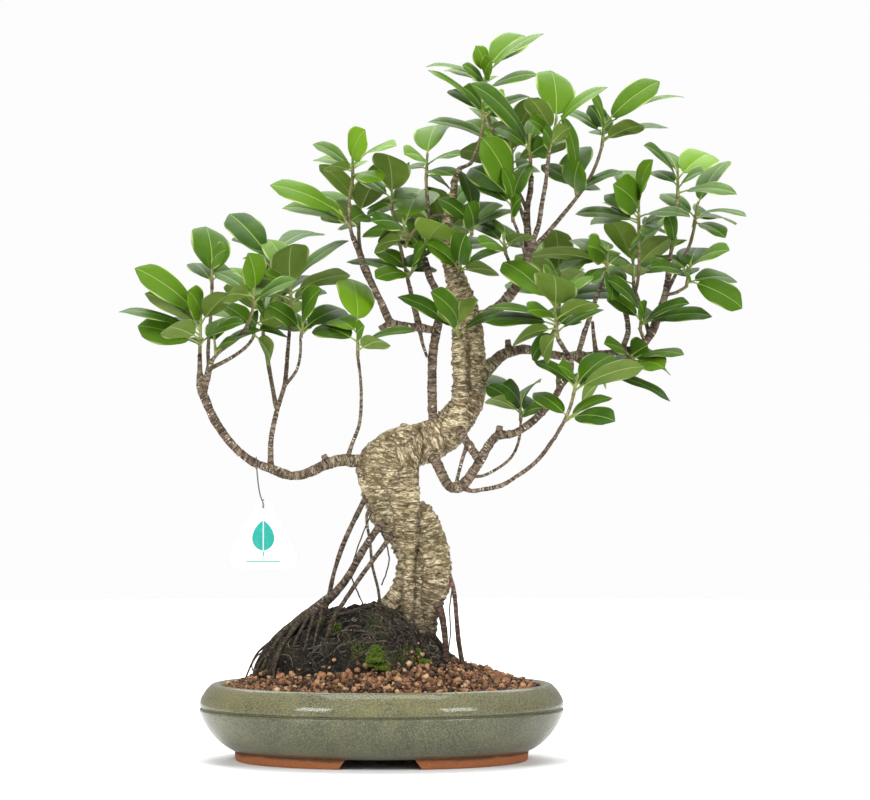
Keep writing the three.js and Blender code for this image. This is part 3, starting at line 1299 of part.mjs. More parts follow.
function put(name, solid, look) {
  const mesh = new THREE.Mesh(geometryOf(solid), new THREE.MeshStandardMaterial(LOOKS[look]));
  mesh.name = name;
  group.add(mesh);
}

const ground = makeRootBall(GAP).add(gravelCone(GAP));

put('pot', makePot(), 'glaze');
put('drain_mesh_left', drainMesh(-DRAIN_OFFSET), 'drain');
put('drain_mesh_right', drainMesh(DRAIN_OFFSET), 'drain');
put('potting_soil', makePottingSoil(), 'soil');
put('root_ball', makeRootBall(), 'soil');
put('gravel', makeGravel(), 'gravel');

// Each wooden piece is cut back from the ones before it, so that they meet with a small gap.
const wood = [largestBody(makeTrunk().subtract(ground).simplify(WOOD_TOLERANCE))];
let woodClearance = makeTrunk(GAP);
put('trunk', wood[0], 'bark');

const LIMBS = {
  second_stem: [SECOND_STEM],
  branch_left: BRANCH_LEFT,
  branch_upper_left: BRANCH_UPPER_LEFT,
  limb_right_low: LIMB_RIGHT_LOW,
  branch_right_back: BRANCH_RIGHT_BACK,
  branch_top: BRANCH_TOP,
};
for (const [name, paths] of Object.entries({ ...LIMBS, ...AERIAL_ROOTS })) {
  const isRoot = name in AERIAL_ROOTS;
  const drawn = paths.map((path) => path.map(grown));
  const routes = isRoot ? drawn.map(rooted) : drawn;
  const whole = branch(routes).subtract(woodClearance);
  const piece = largestBody((isRoot ? whole.subtract(ground) : whole).simplify(WOOD_TOLERANCE));
  put(name, piece, isRoot ? 'bark' : 'twig');
  wood.push(piece);
  woodClearance = woodClearance.add(branch(routes, GAP));
}

const mossGround = ground.add(woodClearance);
for (const [name, cushions] of Object.entries(MOSS_TUFTS)) {
  put(name, makeMoss(cushions, mossGround), 'moss');
}

const tag = makeTag();
const wire = makeWire();
put('tag', tag, 'tag');
put('tag_wire', wire, 'wire');

const sprays = makeSprays([...wood, tag, wire], woodClearance);
for (const [name, solid] of Object.entries(sprays)) {
  put(name, solid, 'leaf');
}

// The origin goes under the middle of the whole plant, on the surface that it stands on.
const box = new THREE.Box3().setFromObject(group);
group.position.set(-(box.min.x + box.max.x) / 2, -(box.min.y + box.max.y) / 2, 0);

export default group;
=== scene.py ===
"""A fig bonsai in a glazed oval pot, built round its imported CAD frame. Metres, +Z up."""

import math
import random

import bmesh
import bpy
import numpy as np
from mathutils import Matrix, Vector, kdtree, noise


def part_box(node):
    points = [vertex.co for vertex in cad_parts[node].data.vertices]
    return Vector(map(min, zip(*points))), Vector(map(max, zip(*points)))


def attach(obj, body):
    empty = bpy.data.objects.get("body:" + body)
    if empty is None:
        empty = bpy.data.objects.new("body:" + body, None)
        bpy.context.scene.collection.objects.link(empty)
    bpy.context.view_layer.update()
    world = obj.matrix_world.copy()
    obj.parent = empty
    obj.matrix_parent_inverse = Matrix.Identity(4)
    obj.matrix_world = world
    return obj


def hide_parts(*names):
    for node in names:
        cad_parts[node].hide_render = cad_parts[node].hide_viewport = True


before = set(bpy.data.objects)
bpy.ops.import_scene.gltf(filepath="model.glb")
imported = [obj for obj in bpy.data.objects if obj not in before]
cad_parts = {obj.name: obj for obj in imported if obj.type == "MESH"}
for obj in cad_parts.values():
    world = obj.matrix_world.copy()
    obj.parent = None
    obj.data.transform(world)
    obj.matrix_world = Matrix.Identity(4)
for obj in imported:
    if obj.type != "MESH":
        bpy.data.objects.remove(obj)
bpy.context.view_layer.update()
BODY = "root"
MM = 0.001

POT_LOW, POT_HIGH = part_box("pot")
MIDDLE_X = (POT_LOW.x + POT_HIGH.x) / 2
MIDDLE_Y = (POT_LOW.y + POT_HIGH.y) / 2


def place(x, y, z):
    """A point laid out in millimetres about the pot's middle, in the frame's metres."""
    return Vector((MIDDLE_X + x * MM, MIDDLE_Y + y * MM, z * MM))


def add_object(name, data):
    made = bpy.data.objects.new(name, data)
    bpy.context.scene.collection.objects.link(made)
    return made


# ---------------------------------------------------------------- camera

CAMERA_DISTANCE = 3.2
CAMERA_HEIGHT = 0.324
CAMERA_RIGHT = 0.048  # of the pot's middle
CAMERA_LENS = 147

camera_data = bpy.data.cameras.new("camera")
camera_data.lens = CAMERA_LENS
camera_data.sensor_width = 36
camera_data.clip_start = 0.05
camera = add_object("camera", camera_data)
camera.location = (MIDDLE_X + CAMERA_RIGHT, MIDDLE_Y - CAMERA_DISTANCE, CAMERA_HEIGHT)
camera.rotation_euler = (math.radians(90), 0, 0)
bpy.context.scene.camera = camera


# ---------------------------------------------------------------- meshes

def add_mesh(name, vertices, faces, look, smooth=True):
    mesh = bpy.data.meshes.new(name)
    mesh.from_pydata([tuple(v) for v in vertices], [], faces)
    mesh.materials.append(look)
    mesh.update()
    if smooth:
        mesh.shade_smooth()
    return add_object(name, mesh)


def stand_for(piece, slot, *nodes):
    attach(piece, BODY)
    if nodes:
        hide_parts(*nodes)


def set_attribute(piece, name, values):
    """One number, or a row of three, for each vertex."""
    values = np.asarray(values, np.float32)
    kind, field = ("FLOAT", "value") if values.ndim == 1 else ("FLOAT_VECTOR", "vector")
    layer = piece.data.attributes.new(name, kind, "POINT")
    layer.data.foreach_set(field, values.ravel())


def bake_modifiers(piece):
    """Applies a piece's modifiers to its mesh."""
    graph = bpy.context.evaluated_depsgraph_get()
    mesh = bpy.data.meshes.new_from_object(piece.evaluated_get(graph))
    old = piece.data
    piece.modifiers.clear()
    piece.data = mesh
    bpy.data.meshes.remove(old)
    mesh.name = piece.name
    mesh.shade_smooth()


def smooth_curve(points, steps):
    """A centripetal Catmull-Rom curve through rows of numbers, steps to each span."""
    p = np.array(points, float)
    p = np.vstack([2 * p[0] - p[1], p, 2 * p[-1] - p[-2]])
    rows = []
    for i in range(1, len(p) - 2):
        knots = [0.0]
        for a, b in zip(p[i - 1:i + 2], p[i:i + 3]):
            knots.append(knots[-1] + max(np.linalg.norm(b[:3] - a[:3]), 1e-6) ** 0.5)
        for t in np.linspace(knots[1], knots[2], steps, endpoint=False):
            level = list(p[i - 1:i + 3])
            for depth in (1, 2, 3):
                level = [
                    ((knots[j + depth] - t) * level[j] + (t - knots[j]) * level[j + 1])
                    / (knots[j + depth] - knots[j])
                    for j in range(len(level) - 1)
                ]
            rows.append(level[0])
    rows.append(p[-2])
    return np.array(rows)


def tube(rows, sides):
    """Vertices and faces of a closed tube along rows of x, y, z, radius."""
    vertices, faces = [], []
    across = Vector((0.31, 0.95, 0.05))
    count = len(rows)
    for i, row in enumerate(rows):
        x, y, z, radius = (float(value) for value in row)
        ahead, behind = rows[min(i + 1, count - 1)], rows[max(i - 1, 0)]
        along = Vector(ahead[:3] - behind[:3]).normalized()
        across = (across - along * across.dot(along)).normalized()
        other = along.cross(across)
        for s in range(sides):
            angle = 2 * math.pi * s / sides
            vertices.append(Vector((x, y, z)) + radius * (across * math.cos(angle) + other * math.sin(angle)))
    for i in range(count - 1):
        for s in range(sides):
            a, b = i * sides + s, i * sides + (s + 1) % sides
            faces.append((a, b, b + sides, a + sides))
    faces.append(tuple(reversed(range(sides))))
    faces.append(tuple(range((count - 1) * sides, count * sides)))
    return vertices, faces


def placed_tube(rows, sides):
    """A tube along rows laid out in millimetres about the pot's middle."""
    return tube(np.array([(*place(*row[:3]), row[3] * MM) for row in rows]), sides)


def gather(parts):
    """Joins (vertices, faces) pairs, each numbered from zero, into one pair."""
    vertices, faces = [], []
    for more, their_faces in parts:
        start = len(vertices)
        vertices.extend(more)
        faces.extend(tuple(start + i for i in face) for face in their_faces)
    return vertices, faces


# ---------------------------------------------------------------- looks

class Look:
    """A node material under construction, with shorthand for the nodes used here."""

    def __init__(self, name, **surface):
        self.material = bpy.data.materials.new(name)
        self.material.use_nodes = True
        self.tree = self.material.node_tree
        self.shader = self.tree.nodes["Principled BSDF"]
        for socket, value in surface.items():
            self.shader.inputs[socket.replace("_", " ")].default_value = value
        self.where = self.node("ShaderNodeTexCoord").outputs["Object"]

    def node(self, kind, inputs=(), **settings):
        made = self.tree.nodes.new(kind)
        for key, value in settings.items():
            setattr(made, key, value)
        for key, value in dict(inputs).items():
            self.feed(made.inputs[key], value)
        return made

    def feed(self, socket, value):
        if isinstance(value, bpy.types.NodeSocket):
            self.tree.links.new(value, socket)
        else:
            socket.default_value = value

    def noise(self, scale, detail=3, roughness=0.5, vector=None, distortion=0):
        return self.node("ShaderNodeTexNoise", {
            "Vector": vector or self.where, "Scale": scale, "Detail": detail, "Roughness": roughness,
            "Distortion": distortion,
        }).outputs["Fac"]

    def cells(self, scale, feature="F1", vector=None):
        return self.node("ShaderNodeTexVoronoi", {
            "Vector": vector or self.where, "Scale": scale,
        }, feature=feature).outputs["Distance"]

    def ramp(self, value, *stops):
        made = self.node("ShaderNodeValToRGB", {"Fac": value})
        elements = made.color_ramp.elements
        while len(elements) < len(stops):
            elements.new(0.5)
        for element, (position, shade) in zip(elements, stops):
            element.position = position
            element.color = (shade, shade, shade, 1) if isinstance(shade, (int, float)) else (*shade, 1)
        return made.outputs["Color"]

    def mix(self, factor, low, high, blend="MIX"):
        made = self.node("ShaderNodeMix", data_type="RGBA", blend_type=blend)
        self.feed(made.inputs[0], factor)
        for socket, value in ((made.inputs[6], low), (made.inputs[7], high)):
            self.feed(socket, value if isinstance(value, bpy.types.NodeSocket) else (*value, 1))
        return made.outputs[2]

    def math(self, operation, a, b=0.0):
        made = self.node("ShaderNodeMath", operation=operation)
        self.feed(made.inputs[0], a)
        self.feed(made.inputs[1], b)
        return made.outputs[0]

    def times(self, a, b):
        return self.math("MULTIPLY", a, b)

    def plus(self, a, b):
        return self.math("ADD", a, b)

    def attribute(self, name, output="Fac"):
        return self.node("ShaderNodeAttribute", attribute_name=name).outputs[output]

    def split(self, vector):
        return list(self.node("ShaderNodeSeparateXYZ", {"Vector": vector}).outputs)

    def height(self):
        return self.split(self.where)[2]

    def colour(self, value):
        self.feed(self.shader.inputs["Base Color"], value)

    def rough(self, value, low, high):
        spread = self.node("ShaderNodeMapRange", {"Value": value, "To Min": low, "To Max": high})
        self.feed(self.shader.inputs["Roughness"], spread.outputs["Result"])

    def bump(self, *layers):
        """Layers of (height, depth in millimetres), one over the other."""
        normal = None
        for height, depth in layers:
            made = self.node("ShaderNodeBump", {"Height": height, "Distance": depth * MM, "Strength": 1.0})
            if normal:
                self.feed(made.inputs["Normal"], normal)
            normal = made.outputs["Normal"]
        self.feed(self.shader.inputs["Normal"], normal)


# ---------------------------------------------------------------- the plant as drawn
# The same points as the CAD model: wood as x, y, z, radius, about the middle of the pot.

TRUNK_LOWER = [
    [20, 0, 104, 13], [19, 0, 126, 11], [17, 0, 144, 11], [24, 0, 180, 9.5], [17, 0, 207, 17], [11, 0, 225,
    22], [8, 0, 243, 26], [6, 0, 261, 28], [8, 0, 276, 25], [10, 0, 288, 15], [11, 0, 295, 5],
]
TRUNK_UPPER = [
    [2, 0, 268, 14], [12, 0, 275, 22], [27, 0, 282, 20], [44, 0, 288, 18], [60, 0, 298, 16.5], [72, 1, 313,
    15], [79, 2, 326, 14], [81.5, 3, 351, 13], [80, 4, 378, 12], [76, 4, 405, 11], [69, 4, 427, 10], [62,
    4, 448, 8], [58, 3, 468, 6], [60, 2, 490, 5], [64, 0, 504, 3.6], [66, 0, 522, 3.3], [71, 0, 534, 2.6],
]
TRUNK_BULGE = [
    [32, -5, 232, 5], [38, -5, 219, 10], [45, -6, 196, 13.5], [48, -7, 171, 15.5], [46, -6, 152, 13.5],
    [42, -5, 136, 11], [39, -4, 118, 10], [37, -4, 98, 10], [35, -4, 80, 10],
]
TRUNK_FRONT_ROOT = [
    [29, -17, 254, 3.5], [29, -18, 234, 5.5], [27, -15, 207, 6], [26, -13, 190, 5.5], [25, -14, 166, 5],
    [23, -13, 133, 5.5], [22, -12, 104, 6],
]
TRUNK_FRONT_STEM = [
    [64, -6, 290, 7], [68, -8, 300, 7.5], [71, -9, 333, 8], [71, -8, 369, 7.5], [69, -4, 396, 6],
]
TRUNK_FLARE = [[21, -4, 162, 5], [14, -5, 151, 6.5], [6, -5, 141, 8], [-3, -5, 131, 8.5], [-10, -4, 119, 8]]
TRUNK_WEB = [[31, -3, 198, 5], [33, -4, 170, 8], [32, -5, 142, 10], [33, -4, 118, 12], [32, -3, 92, 12]]
TRUNK_HUMP = [[18, -2, 284, 6], [20, -3, 296, 4.5], [20, -3, 303, 3]]
SECOND_STEM = [
    [46, -6, 292, 5], [46.4, -6, 302, 4.5], [45.5, -8, 324, 4.3], [45.5, -8, 351, 4.2], [47, -7, 373, 4.2],
    [50, -5, 389, 4], [52.7, -4, 414, 3.8], [44, -3, 432, 3.4], [38.3, -2, 452, 3],
]
BRANCH_LEFT = [
    [[-4, -2, 270, 7], [-18, -4, 269, 6], [-34, -8, 270, 5.5], [-48, -11, 267, 5.2], [-63, -14, 260, 4.5],
    [-80, -16, 256, 4.2], [-99, -17, 262.5, 4], [-114, -17, 268, 3.8], [-133, -16, 283, 3.8], [-149, -14,
    305, 3.8], [-158, -12, 324, 4.2], [-162, -11, 335, 4], [-163, -12, 349, 2.6], [-163, -13, 366, 2]],
    [[-160, -11, 331, 3.4], [-156, -14, 346, 3.2], [-152, -19, 360, 2.6]], [[-154, -16, 352, 2.2], [-135,
    -8, 362, 1.8], [-122, 0, 372, 1.6], [-116, 4, 380, 1.5]], [[-48, -11, 266, 4], [-52, -12, 275, 2.6]],
    [[-99, -16, 262, 3], [-99.5, -12, 275, 2.6], [-99, -4, 292, 2.4], [-94, 8, 317, 2.3], [-88, 16, 338,
    2.1], [-86, 22, 363, 1.9], [-84, 26, 388, 1.7]], [[-88, 16, 337, 1.7], [-77, 10, 351, 1.5], [-73.4, 6,
    367, 1.4], [-73.4, 4, 380, 1.3]], [[-31, -8, 270, 2.6], [-27, -13, 283, 1.9], [-20, -19, 301, 1.7],
    [-18, -22, 324, 1.6], [-18.5, -24, 342, 1.5], [-21, -26, 363, 1.4]],
]
BRANCH_UPPER_LEFT = [
    [[50, -5, 386, 3], [35, -8, 389, 3.8], [17, -12, 391, 3.8], [8, -14, 394, 3.6], [1, -14, 409, 3.4],
    [-9, -12, 429, 3.2], [-15, -10, 441, 3], [-21, -8, 459, 2.7], [-26, -7, 471, 2.4]], [[8, -14, 393, 3],
    [-2, -13, 388, 2.4]], [[34, -8, 389, 3], [28, -2, 413, 2.4], [25, 4, 427, 1.9]], [[34, -8, 388, 2],
    [37, -13, 374, 1.6], [41, -16, 362, 1.3]], [[-9, -12, 428, 2.4], [-12, 10, 440, 2], [-18, 34, 454,
    1.6]],
]
LIMB_RIGHT_LOW = [
    [[38, -4, 288, 6.5], [43, -13, 277, 5.8], [50, -20, 267, 5], [55, -22, 256, 4.6], [61, -24, 247, 4.6],
    [69, -26, 245.5, 4.8], [76, -27, 251, 4.8], [82, -27, 260, 4.3], [89, -26, 271, 4.2], [95, -26, 282,
    4], [104, -28, 292, 4], [116, -31, 293.5, 3.7], [127, -34, 299, 3.5], [138, -38, 308, 3.3], [148, -42,
    318, 3.2], [155, -45, 328, 3], [161, -48, 338, 2.8], [168, -50, 348, 2.6], [168.5, -52, 358, 2.5],
    [162.5, -53, 369, 2.2], [157, -54, 378, 2]], [[104, -28, 290, 3.4], [106, -27, 301, 3]], [[158, -46,
    333, 2.4], [157, -43, 355, 1.9]], [[68, -10, 301, 4.5], [74, -18, 290, 4], [80, -23, 281, 3.9], [88,
    -26, 270, 3.7]], [[77, -21, 285, 2], [71.5, -24, 268, 1.7], [67, -26, 250, 1.6]], [[72, -27, 246, 2.4],
    [80, -32, 243, 2], [89, -36, 244, 2], [107, -42, 248, 2], [120, -47, 256, 2], [134, -52, 266, 2], [145,
    -56, 278, 1.9], [153, -60, 290, 1.8]], [[79, -27, 256, 1.8], [90, -22, 256, 1.5], [103, -17, 262, 1.4],
    [115, -13, 271, 1.4], [122, -10, 283, 1.4], [124.7, -9, 297, 1.4], [125, -8, 306, 1.3]],
]
BRANCH_RIGHT_BACK = [
    [[82, 6, 346, 7.5], [90.5, 12, 349, 7], [99.5, 18, 356, 6], [107, 22, 363.5, 5.2], [117.5, 26, 368,
    4.8], [129, 29, 370, 4.4], [147, 32, 367, 3.8], [162.5, 35, 364, 3.6], [179, 38, 363.6, 3.4], [197, 40,
    366, 3.2], [215, 41, 368, 3.2], [233, 42, 372, 3.7], [243.5, 43, 382, 4], [251, 43, 399, 4], [257, 42,
    416, 3.4], [260.6, 40, 436, 2.7], [262.4, 38, 455, 2.1]], [[115, 25, 368, 3.4], [114, 25, 379, 2.6]],
    [[218, 41, 369, 2.8], [224.6, 45, 387, 2.6], [222, 48, 405, 2.4], [220, 50, 414, 2.2]], [[178, 38, 364,
    2.6], [184, 33, 385, 2.4], [189, 28, 400, 2.2], [194, 24, 416, 2], [200, 20, 431, 1.8]], [[195, 40,
    366, 2.4], [193, 44, 382, 1.9], [192, 48, 396, 1.5]], [[146, 32, 367, 2.8], [150, 52, 374, 2.4], [158,
    70, 388, 2]],
]
BRANCH_TOP = [
    [[80, 3, 393, 6], [87, 2, 398, 6], [98, 0, 402, 5.6], [109, -2, 411, 5], [118, -3, 422, 4.6], [125, -4,
    432, 4.2], [130, -4, 445, 4], [132, -4, 461, 3.6], [131, -3, 481, 3.2], [131, -2, 497, 3], [134, 0,
    513, 2.6], [134.6, 1, 526, 2.3]], [[132, -4, 455, 2.8], [135, -7, 464, 2.5], [141, -12, 481, 2.3],
    [143.6, -16, 499, 2.2], [147, -19, 517, 2], [149, -21, 536, 1.8]], [[131, -3, 450, 2.6], [138, 3, 462,
    2.2], [147, 10, 472, 2.1], [159, 18, 486, 2], [169, 23, 498, 1.9]], [[131, -4, 450, 2], [127, -8, 461,
    1.6], [123, -14, 473, 1.5], [118.5, -18, 484, 1.4]], [[123, -4, 431, 2.4], [121, -10, 438, 1.9], [115,
    -15, 447, 1.6], [111.5, -18, 455, 1.5]], [[131, -3, 478, 2.4], [128, 16, 490, 2], [124, 36, 504, 1.7]],
]
AERIAL_ROOTS = {
    "root_left_outer": [[[-12, -10, 240, 3], [-18, -14, 229, 2.5], [-26, -18, 213, 2.3], [-36, -21, 190,
    2.2], [-43, -23, 167, 2.1], [-47, -23, 148, 2.1], [-51, -22, 132, 2.2], [-53, -20, 118, 2.2]]],
    "root_left_main": [[[6, -16, 218, 4], [-3, -19, 209, 3.4], [-15, -22, 192, 3.3], [-28, -26, 169, 3.4],
    [-41, -27, 152, 3.8], [-55, -24, 140, 5], [-72, -16, 127, 5], [-84, -8, 118, 4.4], [-100, -2, 104, 3],
    [-111, 2, 88, 2.4], [-116, 3, 72, 2]], [[-70, -17, 128, 2.6], [-80, -24, 117, 2.2], [-90, -30, 101,
    1.8], [-96, -34, 82, 1.6]], [[-84, -9, 118, 2.4], [-97, -16, 103, 1.9], [-106, -20, 84, 1.6]]],
    "root_left_inner": [[[12, -12, 206, 3], [5, -17, 197, 2.3], [-8, -24, 180, 2.1], [-22, -34, 161, 2.1],
    [-34, -39, 143, 2.1], [-43, -41, 128, 2.1], [-49, -42, 110, 2]]],
    "root_left_fine": [[[-8, -20, 230, 2.2], [-13, -23, 221, 1.5], [-10, -22, 197, 1.4], [-8, -21, 175,
    1.4], [-3, -19, 155, 1.4], [-1, -18, 138, 1.5], [0, -17, 122, 1.5]]],
    "root_right_outer": [[[58, -10, 171, 3], [64, -13, 157, 2.1], [67, -15, 133, 2.1], [69, -17, 109, 2.3],
    [72, -19, 91, 2.3], [76, -21, 74, 2.2]]],
    "root_right_inner": [[[50, -9, 148, 3.2], [54, -15, 131, 3], [57, -20, 112, 2.8], [58, -24, 92, 2.6],
    [60, -26, 74, 2.4]]],
}
